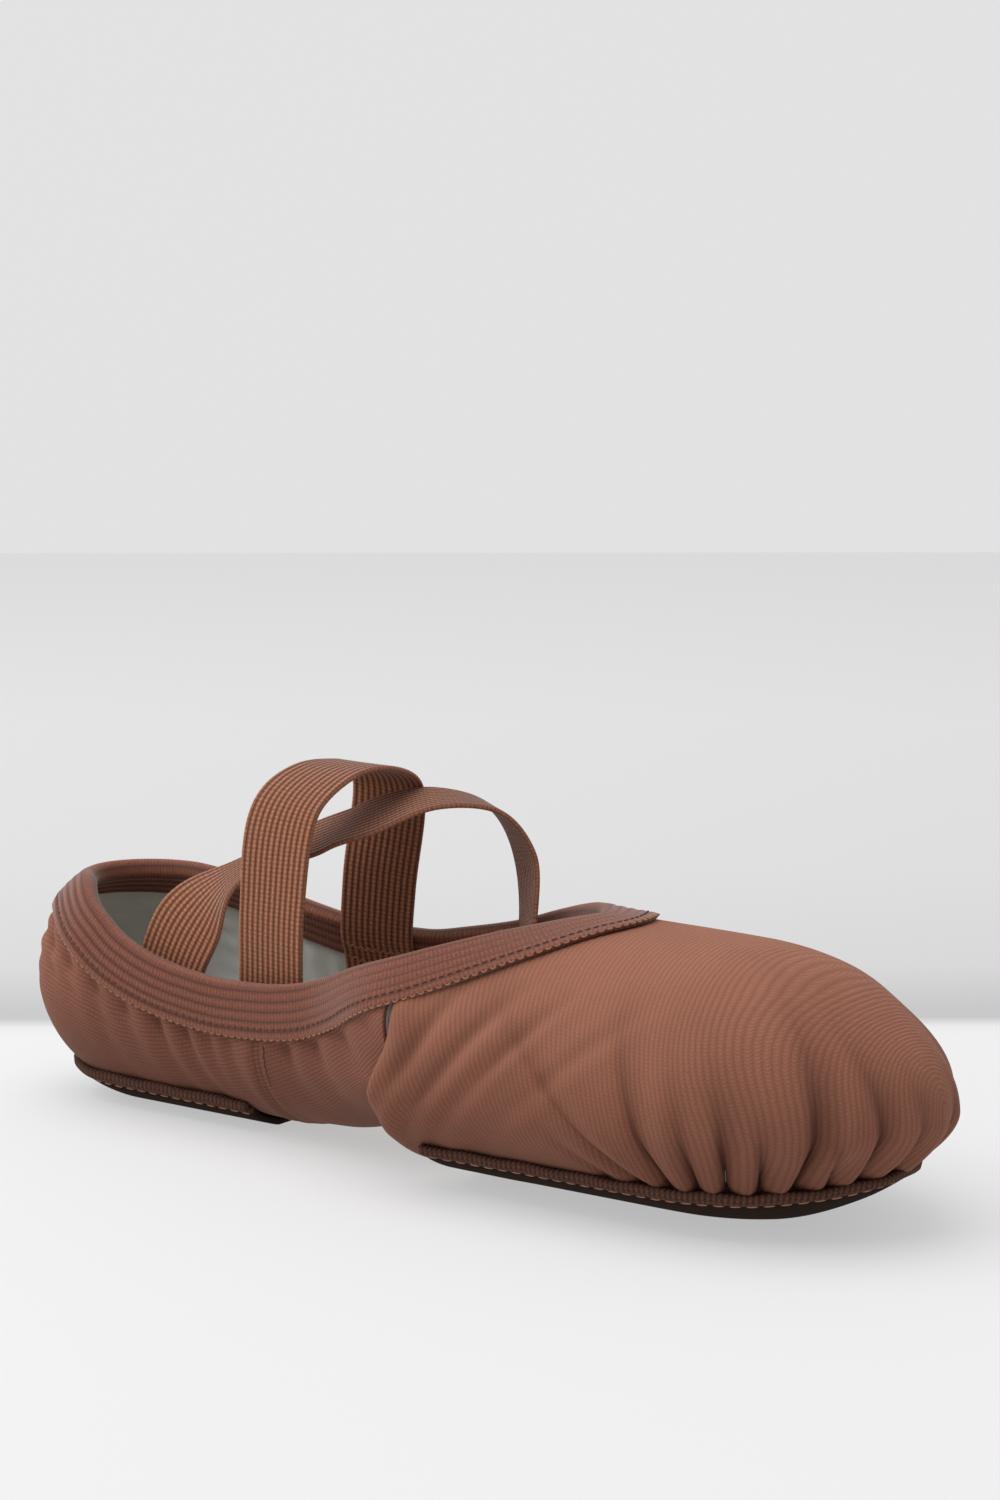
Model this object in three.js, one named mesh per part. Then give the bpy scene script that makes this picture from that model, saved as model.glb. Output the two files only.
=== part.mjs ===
// Split-sole ballet slipper with two crossed elastic straps.
// Millimetres. Toe towards +X, the wearer's right side towards -Y, +Z up, soles on z = 0.
import * as THREE from "three";

// ---------------------------------------------------------------- driving dimensions
const SHOE_LENGTH = 235; // back of the heel to the tip of the toe
const BALL_WIDTH = 76; // across the forefoot, over the canvas
const HEEL_WIDTH = 48; // across the heel, over the canvas
const WAIST_WIDTH = 53; // across the arch, over the canvas
const SKIRT_WIDTH = 80; // across the rear hem of the vamp, which stands off the arch
const THROAT_HEIGHT = 56; // top of the vamp at the throat
const TOE_HEIGHT = 54.5; // top of the vamp over the toes
const HEEL_TOP = 55; // height at which the heel walls would close over
const WIDEST_HEIGHT = 23; // height of the widest line of the walls
const HEEL_ROUND = 30; // length of the rounded heel end
const TOE_ROUND = 50; // length of the rounded toe end

const CANVAS = 0.9; // stretch canvas
const LINING = 0.6; // cotton lining
const GAP = 0.33; // clearance between sewn layers
const SUEDE = 1.6; // sole patches
const SOLE_FLAT = 0.7; // the patches are pressed flat by this much where they meet the floor
const PAD = 2.2; // insole pads
const BINDING = 0.8; // collar elastic, folded over the edge
const BINDING_EASE = 0.6; // clearance between the elastic and the cloth it folds over
const BINDING_OUTER_LEG = 10.5;
const BINDING_INNER_LEG = 7.5;
const STRAP_WIDTH = 19;
const STRAP_SPACE = 9.9; // between the two straps where they are sewn on the right
const STRAP_THICKNESS = 1.2;
const STRAP_TAIL = 9; // length of strap sewn inside the collar
const STRAP_CUT = 0.24; // the ends reach this share of the way from the collar to the next knot
const STRAP_CUT_GAP = 0.02; // and the arch starts this much further on
const THREAD = 0.35; // thread radius

// Seams, patches and strap ends are graded with the length, as on a shoemaker's last.
const graded = (share) => share * SHOE_LENGTH;
const FOLD_X = graded(0.0255); // the arch bends here; forefoot and heel halves meet
const SKIRT_OVERLAP = 3.5; // vamp hem reaches back over the arch panels
const ARCH_TUCK = 4; // arch panels run on inside the vamp
const TUCK_DEPTH = 5; // arch panels stand this far inside the vamp
const FOLD_GAP = 0.9; // the two halves of the collar stand this far apart
const SIDE_SEAM_X = graded(-0.164); // seam between heel quarter and arch panel
const HEEL_PATCH_FRONT = graded(-0.204);
const FRONT_PATCH_REAR = graded(0.051);
const THROAT_X = graded(0.149);
const MARGIN_ANGLE = -56; // canvas turned under the patches reaches in to here
const RIM_ANGLE = -33; // patches curl up to here

const HALF = SHOE_LENGTH / 2;
const HEEL_CENTRE = HEEL_ROUND - HALF;
const TOE_CENTRE = HALF - TOE_ROUND;
const UPPER_ROUND = 2.2; // roundness of the section above its widest line
const LOWER_ROUND = 1.9; // and below it
const RIGHT = -1;
const LEFT = 1;

// ---------------------------------------------------------------- materials
const material = (color, roughness) =>
  new THREE.MeshStandardMaterial({ color, roughness, metalness: 0 });
const CANVAS_CLOTH = material(0x8a5a47, 0.9);
const LINING_CLOTH = material(0x9a968d, 0.95);
const ELASTIC = material(0x7d4d3b, 0.75);
const SUEDE_LEATHER = material(0x2b1d16, 0.95);
const PAD_FOAM = material(0x8f8a80, 0.95);
const SEWING = material(0x9c7358, 0.7);

// ---------------------------------------------------------------- small helpers
const clamp = (v, low, high) => Math.min(high, Math.max(low, v));
const radians = (degrees) => (degrees * Math.PI) / 180;
const mix = (a, b, t) => a + (b - a) * t;

function ramp(v, from, to) {
  const t = clamp((v - from) / (to - from), 0, 1);
  return t * t * (3 - 2 * t);
}

// Evenly spaced values, both ends included.
function spread(from, to, count) {
  return Array.from({ length: count + 1 }, (_, i) => mix(from, to, i / count));
}

// Smooth curve through the given values that never overshoots them.
function profile(stations, values) {
  const last = stations.length - 1;
  const chord = (i) => (values[i + 1] - values[i]) / (stations[i + 1] - stations[i]);
  const slope = stations.map((_, i) => {
    if (i === 0 || i === last) return 0;
    const before = chord(i - 1);
    const after = chord(i);
    return before * after > 0 ? (2 * before * after) / (before + after) : 0;
  });
  return (x) => {
    const at = clamp(x, stations[0], stations[last]);
    let i = 0;
    while (i < last - 1 && at > stations[i + 1]) i += 1;
    const width = stations[i + 1] - stations[i];
    const t = (at - stations[i]) / width;
    const rise = values[i + 1] - values[i];
    const bend = slope[i] * width * t * (1 - t) ** 2 - slope[i + 1] * width * t * t * (1 - t);
    return values[i] + rise * t * t * (3 - 2 * t) + bend;
  };
}

// ---------------------------------------------------------------- the last (foot form)
// A rounded bar, warped by its width, top and underside along the length.
const heelHalf = HEEL_WIDTH / 2;
const ballHalf = BALL_WIDTH / 2;
const halfWidth = profile(
  [-0.5, -0.34, -0.234, -0.106, 0.026, 0.149, 0.255, 0.362, 0.5].map(graded),
  [heelHalf, heelHalf, heelHalf, WAIST_WIDTH / 2, SKIRT_WIDTH / 2, ballHalf, ballHalf,
    ballHalf - 1.5, ballHalf - 4],
);
const topHeight = profile(
  [-0.5, -0.3, -0.1, 0.02, 0.149, 0.255, 0.362, 0.5].map(graded),
  [HEEL_TOP, HEEL_TOP + 2, 58.5, 58, THROAT_HEIGHT, TOE_HEIGHT + 1, TOE_HEIGHT, TOE_HEIGHT - 6],
);
const widestHeight = profile(
  [-0.5, -0.1, 0.26, 0.5].map(graded),
  [WIDEST_HEIGHT + 4, WIDEST_HEIGHT, WIDEST_HEIGHT, WIDEST_HEIGHT + 2],
);
const SOLE_LEVEL = GAP + SUEDE - SOLE_FLAT;
const heelUnderside = profile(
  [-0.5, -0.44, -0.21, -0.12, -0.02, 0.06].map(graded),
  [SOLE_LEVEL + 3, SOLE_LEVEL, SOLE_LEVEL, SOLE_LEVEL + 1, 3.8, 4.2],
);
const foreUnderside = profile(
  [0, 0.07, 0.12, 0.36, 0.42, 0.5].map(graded),
  [1.9, 1.5, SOLE_LEVEL, SOLE_LEVEL, 3, 8],
);

// Collar height, for the wearer's right and left side; it reaches the ridge at the throat.
const collarStations = [-0.5, -0.43, -0.38, -0.34, -0.3, -0.26, -0.21, -0.165, -0.12,
  -0.075, -0.03, 0.015, 0.06, 0.106].map(graded).concat([THROAT_X]);
const collarFront = [44.5, 48, 51.4, 54.3, THROAT_HEIGHT];
const collarHeight = {
  [RIGHT]: profile(collarStations, [51, 51, 46, 41, 37.8, 36, 35, 35.5, 37, 40.2, ...collarFront]),
  [LEFT]: profile(collarStations, [51, 51, 50.8, 49.5, 47.5, 45, 42.5, 41, 41, 42.5, ...collarFront]),
};

// The heel half stands further in near the fold, so that the vamp can slide over it.
function heelTuck(x, z) {
  const forward = ramp(x, FOLD_X - 32, FOLD_X - 3);
  const below = 1 - ramp(z, WIDEST_HEIGHT + 1, WIDEST_HEIGHT + 18);
  return -TUCK_DEPTH * forward * below;
}
const heelLast = { underside: heelUnderside, tuck: heelTuck };
const foreLast = { underside: foreUnderside, tuck: () => 0 };

// 1 on the surface of the last, less inside it.
function fullness(last, p) {
  const lengthwise = (p.x - clamp(p.x, HEEL_CENTRE, TOE_CENTRE)) / (p.x < 0 ? HEEL_ROUND : TOE_ROUND);
  const crosswise = p.y / halfWidth(p.x);
  const middle = widestHeight(p.x);
  const above = p.z > middle;
  const round = above ? UPPER_ROUND : LOWER_ROUND;
  const reach = above ? topHeight(p.x) - middle : middle - last.underside(p.x);
  const plan = Math.hypot(lengthwise, crosswise);
  return (plan ** round + (Math.abs(p.z - middle) / reach) ** round) ** (1 / round);
}

function normalAt(last, p) {
  const step = 0.05;
  const change = (dx, dy, dz) =>
    fullness(last, { x: p.x + dx, y: p.y + dy, z: p.z + dz }) -
    fullness(last, { x: p.x - dx, y: p.y - dy, z: p.z - dz });
  return new THREE.Vector3(change(step, 0, 0), change(0, step, 0), change(0, 0, step)).normalize();
}

// Nearest surface point by shrinking or growing the section through p.
function ontoLast(last, p) {
  const size = fullness(last, p);
  const spine = clamp(p.x, HEEL_CENTRE, TOE_CENTRE);
  const x = spine + (p.x - spine) / size;
  const y = ((p.y / halfWidth(p.x)) * halfWidth(x)) / size;
  const z = widestHeight(x) + (p.z - widestHeight(p.x)) / size;
  return new THREE.Vector3(x, y, z);
}

// A line runs from under the foot up the wall, beside the spine or fanned about its end.
// Above the widest height a straight line leans over to a second place along the shoe.
function wallLine(x, side, fan = 0, upperX = x) {
  const end = fan === 0 ? 0 : Math.sign(x) * (x < 0 ? HEEL_ROUND : TOE_ROUND);
  const spine = fan === 0 ? x : clamp(x, HEEL_CENTRE, TOE_CENTRE);
  return { spine, upper: fan === 0 ? upperX : spine, side,
    end: end * Math.sin(radians(fan)), out: Math.cos(radians(fan)) * side };
}

function linePoint(last, line, angle) {
  const cosine = Math.cos(radians(angle));
  const sine = Math.sin(radians(angle));
  const round = angle > 0 ? UPPER_ROUND : LOWER_ROUND;
  const scale = (Math.abs(cosine) ** round + Math.abs(sine) ** round) ** (-1 / round);
  const spine = mix(line.spine, line.upper, ramp(angle, -4, 20));
  const x = spine + line.end * cosine * scale;
  const middle = widestHeight(x);
  const reach = angle > 0 ? topHeight(x) - middle : middle - last.underside(x);
  const y = line.out * halfWidth(x) * cosine * scale;
  return new THREE.Vector3(x, y, middle + reach * sine * scale);
}

// Angle at which a line meets the collar, or 90 where it runs to the ridge.
function collarAngle(last, line) {
  const over = (angle) => {
    const p = linePoint(last, line, angle);
    return p.x >= THROAT_X ? -1 : p.z - collarHeight[line.side](p.x);
  };
  let low = 0;
  let high = 90;
  if (over(high - 0.01) < 0) return high;
  for (let i = 0; i < 30; i += 1) {
    const middle = (low + high) / 2;
    if (over(middle) < 0) low = middle;
    else high = middle;
  }
  return low;
}

// Spots at set depths below the collar, measured down the wall as far as the rim of the patches.
function downTheWall(last, line, depths) {
  const trace = spread(collarAngle(last, line), RIM_ANGLE, 140).map((a) => linePoint(last, line, a));
  const run = [0];
  for (let i = 1; i < trace.length; i += 1) run.push(run[i - 1] + trace[i].distanceTo(trace[i - 1]));
  const total = run[run.length - 1];
  return depths(total).map((depth) => {
    let i = 1;
    while (i < run.length - 1 && run[i] < depth) i += 1;
    const point = trace[i - 1].clone().lerp(trace[i], (depth - run[i - 1]) / (run[i] - run[i - 1]));
    return surfaceSpot(last, point);
  });
}

// Every layer of the upper shares these rows, so that nested layers keep their clearance:
// the bound edge, the wall down to the patch rim, the margin under the patch, the middle.
const WALL_ROWS = 5;
const RIM_ROW = 3 + WALL_ROWS;
const MARGIN_ROW = RIM_ROW + 2;
const CENTRE_ROW = MARGIN_ROW + 3;

function wallColumn(last, line) {
  const edge = [0, BINDING_OUTER_LEG * 0.36, BINDING_INNER_LEG];
  const wall = downTheWall(last, line, (total) => [...edge, ...spread(BINDING_OUTER_LEG, total, WALL_ROWS)]);
  const under = [
    ...spread(RIM_ANGLE, MARGIN_ANGLE, MARGIN_ROW - RIM_ROW).slice(1),
    ...spread(MARGIN_ANGLE, -90, CENTRE_ROW - MARGIN_ROW).slice(1),
  ];
  return [...wall, ...under.map((angle) => surfaceSpot(last, linePoint(last, line, angle)))];
}

function surfaceSpot(last, point) {
  const normal = normalAt(last, point);
  const tucked = point.clone().addScaledVector(normal, last.tuck(point.x, point.z));
  return { point: tucked, normal };
}

// ---------------------------------------------------------------- solids
// Closed solid from a grid of surface spots, thickened between two offsets along the normals.
// Where the grid holds no spot, the cloth is cut away.
function thickSheet(name, cloth, grid, outer, inner, shape = (v) => v) {
  const spots = [];
  const known = new Map();
  const ids = grid.map((column) => column.map((spot) => {
    if (!spot) return null;
    const key = spot.point.toArray().map((v) => Math.round(v * 500)).join();
    if (!known.has(key)) known.set(key, spots.push(spot) - 1);
    return known.get(key);
  }));
  const faces = [];
  for (let i = 0; i + 1 < ids.length; i += 1) {
    for (let j = 0; j + 1 < ids[i].length; j += 1) {
      const quad = [ids[i][j], ids[i + 1][j], ids[i + 1][j + 1], ids[i][j + 1]];
      faces.push([quad[0], quad[1], quad[2]], [quad[0], quad[2], quad[3]]);
    }
  }
  const whole = faces.filter((face) => !face.includes(null) && new Set(face).size === 3);
  const skin = faceOutwards(whole, spots);
  const edges = new Set(skin.flatMap(([a, b, c]) => [`${a},${b}`, `${b},${c}`, `${c},${a}`]));
  const count = spots.length;
  const triangles = skin.flatMap(([a, b, c]) => [[a, b, c], [a + count, c + count, b + count]]);
  for (const edge of edges) {
    const [a, b] = edge.split(",").map(Number);
    if (!edges.has(`${b},${a}`)) triangles.push([b, a, a + count], [b, a + count, b + count]);
  }
  const layer = (offset) => spots.map((s) => shape(s.point.clone().addScaledVector(s.normal, offset)));
  return solid(name, cloth, layer(outer).concat(layer(inner)), triangles);
}

// Turn the whole skin over if it faces against its normals.
function faceOutwards(faces, spots) {
  const edgeA = new THREE.Vector3();
  const edgeB = new THREE.Vector3();
  let sum = 0;
  for (const [a, b, c] of faces) {
    edgeA.subVectors(spots[b].point, spots[a].point);
    edgeB.subVectors(spots[c].point, spots[a].point);
    sum += edgeA.cross(edgeB).dot(spots[a].normal);
  }
  return sum > 0 ? faces : faces.map(([a, b, c]) => [a, c, b]);
}

function solid(name, cloth, points, triangles) {
  const geometry = new THREE.BufferGeometry();
  geometry.setAttribute("position", new THREE.Float32BufferAttribute(points.flatMap((p) => p.toArray()), 3));
  geometry.setIndex(triangles.flat());
  geometry.computeVertexNormals();
  const mesh = new THREE.Mesh(geometry, cloth);
  mesh.name = name;
  return mesh;
}

// Thread laid along a line of points, three-sided.
function thread(name, spots) {
  const sides = 3;
  const tangent = new THREE.Vector3();
  const across = new THREE.Vector3();
  const points = spots.flatMap(({ point, normal }, i) => {
    const before = spots[Math.max(i - 1, 0)].point;
    const after = spots[Math.min(i + 1, spots.length - 1)].point;
    tangent.subVectors(after, before).normalize();
    across.crossVectors(tangent, normal).normalize();
    const up = new THREE.Vector3().crossVectors(across, tangent);
    return spread(0, 240, sides - 1).map((turn) => point.clone()
      .addScaledVector(up, THREAD * Math.cos(radians(turn)))
      .addScaledVector(across, THREAD * Math.sin(radians(turn))));
  });
  const triangles = [[0, 2, 1]];
  for (let i = 0; i + 1 < spots.length; i += 1) {
    for (let k = 0; k < sides; k += 1) {
      const a = i * sides + k;
      const b = i * sides + ((k + 1) % sides);
      triangles.push([a, b, a + sides], [b, b + sides, a + sides]);
    }
  }
  const end = (spots.length - 1) * sides;
  triangles.push([end, end + 1, end + 2]);
  return solid(name, SEWING, points, triangles);
}

// ---------------------------------------------------------------- lines round the shoe
// One half of the heel, from the middle of the back to the fold. The pieces of the heel
// half start and end on these lines.
const HEEL_FAN = 7;
const PATCH_LINES = HEEL_FAN + 5;
const SEAM_LINES = PATCH_LINES + 2;

function heelSide(side) {
  const upper = (x) => {
    const reach = (x - SIDE_SEAM_X) / (FOLD_X + ARCH_TUCK - SIDE_SEAM_X);
    return mix(SIDE_SEAM_X, FOLD_X - FOLD_GAP / 2, reach);
  };
  return [
    ...spread(90, 0, HEEL_FAN).map((fan) => wallLine(HEEL_CENTRE, side, fan)),
    ...spread(HEEL_CENTRE, HEEL_PATCH_FRONT, PATCH_LINES - HEEL_FAN).slice(1).map((x) => wallLine(x, side)),
    ...spread(HEEL_PATCH_FRONT, SIDE_SEAM_X, SEAM_LINES - PATCH_LINES).slice(1).map((x) => wallLine(x, side)),
    ...spread(SIDE_SEAM_X, FOLD_X + ARCH_TUCK, 8).slice(1).map((x) => wallLine(x, side, 0, upper(x))),
  ];
}

// One half of the forefoot, from the vamp's hem at the fold to the middle of the toe.
const HEM_LINES = 2;
const THROAT_LINES = 9;

function foreSide(side) {
  const hem = FOLD_X - SKIRT_OVERLAP;
  const upper = (x) => mix(THROAT_X, FOLD_X + FOLD_GAP / 2, (THROAT_X - x) / (THROAT_X - hem));
  const toThroat = [0.24, 0.46, 0.63, 0.77, 0.88, 0.95, 1].map((t) => mix(FRONT_PATCH_REAR, THROAT_X, t));
  return [
    ...spread(hem, FRONT_PATCH_REAR, HEM_LINES),
    ...toThroat,
  ].map((x) => wallLine(x, side, 0, upper(x))).concat(
    spread(THROAT_X, TOE_CENTRE, 5).slice(1).map((x) => wallLine(x, side)),
    spread(0, 90, 9).slice(1).map((fan) => wallLine(TOE_CENTRE, side, fan)),
  );
}

// Both halves as one course, joined at the back of the heel or the tip of the toe.
const roundHeel = (from, to) => [
  ...heelSide(RIGHT).slice(from, to).reverse(), ...heelSide(LEFT).slice(Math.max(from, 1), to)];
const roundToe = (from) => [
  ...foreSide(RIGHT).slice(from), ...foreSide(LEFT).slice(from, -1).reverse()];

const columns = (last, lines) => lines.map((line) => wallColumn(last, line));
const rows = (grid, from, to) => grid.map((column) => column.slice(from, to + 1));

// ---------------------------------------------------------------- canvas upper
// The halves stop short of the middle plane, edge to edge at the back seam and arch seam.
function besideCentre(grid, side) {
  return grid.map((column) => column.map((spot) => {
    if (!spot || side * spot.point.y >= GAP / 2) return spot;
    const facing = new THREE.Vector3(spot.normal.x, 0, spot.normal.z).normalize();
    return { point: spot.point.clone().setY((side * GAP) / 2), normal: facing };
  }));
}

function heelQuarter(name, side) {
  const lines = heelSide(side).slice(0, SEAM_LINES);
  lines.push(wallLine(SIDE_SEAM_X - GAP / 2, side));
  const grid = columns(heelLast, lines).map((column, i) => {
    const turnedUnder = i < PATCH_LINES;
    return column.map((spot, j) => (turnedUnder && j > MARGIN_ROW ? null : spot));
  });
  return thickSheet(name, CANVAS_CLOTH, besideCentre(grid, side), 0, -CANVAS);
}

function archPanel(name, side) {
  const lines = heelSide(side).slice(SEAM_LINES);
  lines[0] = wallLine(SIDE_SEAM_X + GAP / 2, side);
  return thickSheet(name, CANVAS_CLOTH, besideCentre(columns(heelLast, lines), side), 0, -CANVAS);
}

function vamp() {
  return thickSheet("vamp", CANVAS_CLOTH, rows(columns(foreLast, roundToe(0)), 0, MARGIN_ROW), 0, -CANVAS);
}

// ---------------------------------------------------------------- lining
const LINING_FACE = -CANVAS - GAP;

function linings() {
  return [
    thickSheet("heel_lining", LINING_CLOTH, columns(heelLast, roundHeel(0)), LINING_FACE, LINING_FACE - LINING),
    thickSheet("forefoot_lining", LINING_CLOTH, columns(foreLast, roundToe(0)), LINING_FACE, LINING_FACE - LINING),
  ];
}

// ---------------------------------------------------------------- sole patches and insole pads
const onGround = (v) => v.setZ(Math.max(v.z, 0));

function soles() {
  const heel = rows(columns(heelLast, roundHeel(0, PATCH_LINES + 1)), RIM_ROW, CENTRE_ROW);
  const front = rows(columns(foreLast, roundToe(HEM_LINES)), RIM_ROW, CENTRE_ROW);
  return [
    thickSheet("heel_outsole", SUEDE_LEATHER, heel, GAP + SUEDE, GAP, onGround),
    thickSheet("front_outsole", SUEDE_LEATHER, front, GAP + SUEDE, GAP, onGround),
  ];
}

function pads() {
  const heel = rows(columns(heelLast, roundHeel(0, PATCH_LINES)), MARGIN_ROW, CENTRE_ROW);
  const front = rows(columns(foreLast, roundToe(HEM_LINES + 1)), MARGIN_ROW, CENTRE_ROW);
  const face = LINING_FACE - LINING - GAP;
  return [
    thickSheet("heel_insole_pad", PAD_FOAM, heel, face, face - PAD),
    thickSheet("front_insole_pad", PAD_FOAM, front, face, face - PAD),
  ];
}

// ---------------------------------------------------------------- collar binding
// Corners of the collar, with the direction that leads down into the fabric.
function collarCourse(last, lines) {
  const edge = lines.map((line) => linePoint(last, line, collarAngle(last, line)));
  return edge.map((point, i) => {
    const normal = normalAt(last, point);
    const run = edge[Math.min(i + 1, edge.length - 1)].clone().sub(edge[Math.max(i - 1, 0)]);
    const down = new THREE.Vector3().crossVectors(run, normal).normalize();
    return { point, normal, down };
  });
}

// One folded section: outer leg, fold over the edge, inner leg.
function bindingColumn(last, { point, normal, down }) {
  const outside = BINDING_EASE + BINDING / 2;
  const inside = LINING_FACE - LINING - BINDING_EASE - BINDING / 2;
  const middle = (outside + inside) / 2;
  const leg = (depth, offset, facing) => {
    const spot = surfaceSpot(last, ontoLast(last, point.clone().addScaledVector(down, depth)));
    return {
      point: spot.point.addScaledVector(spot.normal, offset),
      normal: spot.normal.clone().multiplyScalar(facing),
    };
  };
  const crest = point.clone().addScaledVector(normal, middle).addScaledVector(down, -BINDING_EASE - BINDING / 2);
  return [
    ...[BINDING_OUTER_LEG, BINDING_INNER_LEG, BINDING_INNER_LEG / 2, 0].map((depth) => leg(depth, outside, 1)),
    { point: crest, normal: down.clone().negate() },
    ...[0, BINDING_INNER_LEG / 2, BINDING_INNER_LEG].map((depth) => leg(depth, inside, -1)),
  ];
}

const throatLines = () => [
  ...foreSide(RIGHT).slice(0, HEM_LINES + 8), ...foreSide(LEFT).slice(0, HEM_LINES + 7).reverse()];

function bindings() {
  const heel = collarCourse(heelLast, roundHeel(0).reverse()).map((c) => bindingColumn(heelLast, c));
  const throat = collarCourse(foreLast, throatLines()).map((c) => bindingColumn(foreLast, c));
  return [
    thickSheet("heel_binding", ELASTIC, heel, BINDING / 2, -BINDING / 2),
    thickSheet("throat_binding", ELASTIC, throat, BINDING / 2, -BINDING / 2),
  ];
}

// ---------------------------------------------------------------- stitching
const STITCH_REACH = 0.7; // half the width of the zigzag
const OUTSIDE_BINDING = BINDING_EASE + BINDING + GAP + THREAD;

function zigzag(last, from, spots, offset) {
  return spots.map(({ point, normal, down }, i) => {
    const sway = i % 2 ? STITCH_REACH : -STITCH_REACH;
    const at = ontoLast(last, point.clone().addScaledVector(down, from + sway));
    const spot = surfaceSpot(last, at);
    return { point: spot.point.addScaledVector(spot.normal, offset), normal };
  });
}

function bindingStitching() {
  const depth = BINDING_OUTER_LEG - 1.8;
  const heel = collarCourse(heelLast, refine(roundHeel(0).reverse(), 2));
  const throat = collarCourse(foreLast, refine(throatLines(), 2));
  return [
    thread("heel_binding_stitching", zigzag(heelLast, depth, heel, OUTSIDE_BINDING)),
    thread("throat_binding_stitching", zigzag(foreLast, depth, throat, OUTSIDE_BINDING)),
  ];
}

// Extra lines between neighbours on the same side of the shoe.
function refine(lines, times) {
  return lines.flatMap((line, i) => {
    const next = lines[i + 1];
    if (!next || next.side !== line.side) return [line];
    return spread(0, 1, times).slice(0, -1).map((t) => ({
      spine: mix(line.spine, next.spine, t),
      upper: mix(line.upper, next.upper, t),
      end: mix(line.end, next.end, t),
      out: mix(line.out, next.out, t),
      side: line.side,
    }));
  });
}

function soleStitching() {
  const offset = GAP + SUEDE + GAP + THREAD;
  const course = (last, lines) => lines.map((line) => {
    const spot = surfaceSpot(last, linePoint(last, line, RIM_ANGLE - 6));
    return { point: spot.point.addScaledVector(spot.normal, offset), normal: spot.normal };
  });
  return [
    thread("heel_sole_stitching", course(heelLast, roundHeel(0, PATCH_LINES + 1))),
    thread("front_sole_stitching", course(foreLast, roundToe(HEM_LINES))),
  ];
}

// A row of zigzag down the wall from below the binding.
function seamRow(line, axis) {
  const depths = (total) => spread(BINDING_OUTER_LEG + 2, total - 1, 12);
  return downTheWall(heelLast, line, depths).map(({ point, normal }, i) => {
    const swayed = point.clone();
    swayed[axis] += i % 2 ? STITCH_REACH : -STITCH_REACH;
    return { point: swayed.addScaledVector(normal, GAP + THREAD), normal };
  });
}

// Two rows down the side seam, joined at the bottom by the turn of the thread.
function sideSeamStitching(name, side) {
  const before = seamRow(wallLine(SIDE_SEAM_X - 2.5, side), "x");
  const after = seamRow(wallLine(SIDE_SEAM_X + 2.5, side), "x");
  return thread(name, [...before, ...after.reverse()]);
}

const backSeamStitching = () =>
  thread("back_seam_stitching", seamRow(wallLine(HEEL_CENTRE, RIGHT, 90), "y"));

// ---------------------------------------------------------------- elastic straps
// Strap ends lie flat inside the collar binding; the strap arches over the instep between them.
const INSIDE_BINDING = LINING_FACE - LINING - BINDING_EASE - BINDING - GAP - STRAP_THICKNESS / 2;

function anchor({ x, side, ease }, depth, shift = 0) {
  const [{ point, normal }] = downTheWall(heelLast, wallLine(x + shift, side), () => [depth]);
  return { point: point.addScaledVector(normal, INSIDE_BINDING - ease), normal };
}

const knot = (x, y, z, nx, ny, nz) => ({
  point: new THREE.Vector3(x, y, z),
  normal: new THREE.Vector3(nx, ny, nz).normalize(),
});

// Each strap end: where its tail is sewn in, and how it leaves the collar.
const CROSS_RIGHT = { x: graded(-0.166), side: RIGHT, ease: 0.3, lean: [0.5, 0, 18] };
const CROSS_LEFT = { x: graded(-0.164), side: LEFT, ease: 0.4, lean: [0.5, 0.5, 14] };
const LONG_RIGHT = { x: CROSS_RIGHT.x - STRAP_WIDTH - STRAP_SPACE, side: RIGHT, ease: 0.3, lean: [4, 2, 10] };
const LONG_LEFT = { x: graded(-0.002) - STRAP_WIDTH / 2, side: LEFT, ease: 2.3, lean: [1.5, -1.2, 12] };

// A place over the instep: share of the length, share of the waist, height over the throat.
const instep = (length, width, rise, nx, ny, nz) =>
  knot(graded(length), (width * WAIST_WIDTH) / 2, THROAT_HEIGHT + rise, nx, ny, nz);
const overLongStrap = (share) => share * STRAP_WIDTH;
const CROSS_CROWN = [
  instep(-0.152, -0.535, overLongStrap(0.94), 0, -0.75, 0.66),
  instep(-0.141, -0.19, overLongStrap(1.29), 0, -0.3, 0.95),
  instep(-0.136, 0.226, overLongStrap(1.34), 0, 0.3, 0.95),
  instep(-0.149, 0.69, overLongStrap(1.06), 0, 0.75, 0.66),
];
const LONG_CROWN = [
  instep(-0.238, -0.4, 0.8, -0.35, -0.4, 0.85),
  instep(-0.1702, 0.03, 9.5, -0.2, -0.1, 0.95),
  instep(-0.1277, 0.17, 12, 0, 0.22, 0.96),
  instep(-0.0787, 0.49, 15.5, 0.15, 0.3, 0.95),
  instep(-0.043, 0.84, 14.5, 0.3, 0.45, 0.85),
  instep(-0.028, 0.97, 6, 0.4, 0.8, 0.4),
];

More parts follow.
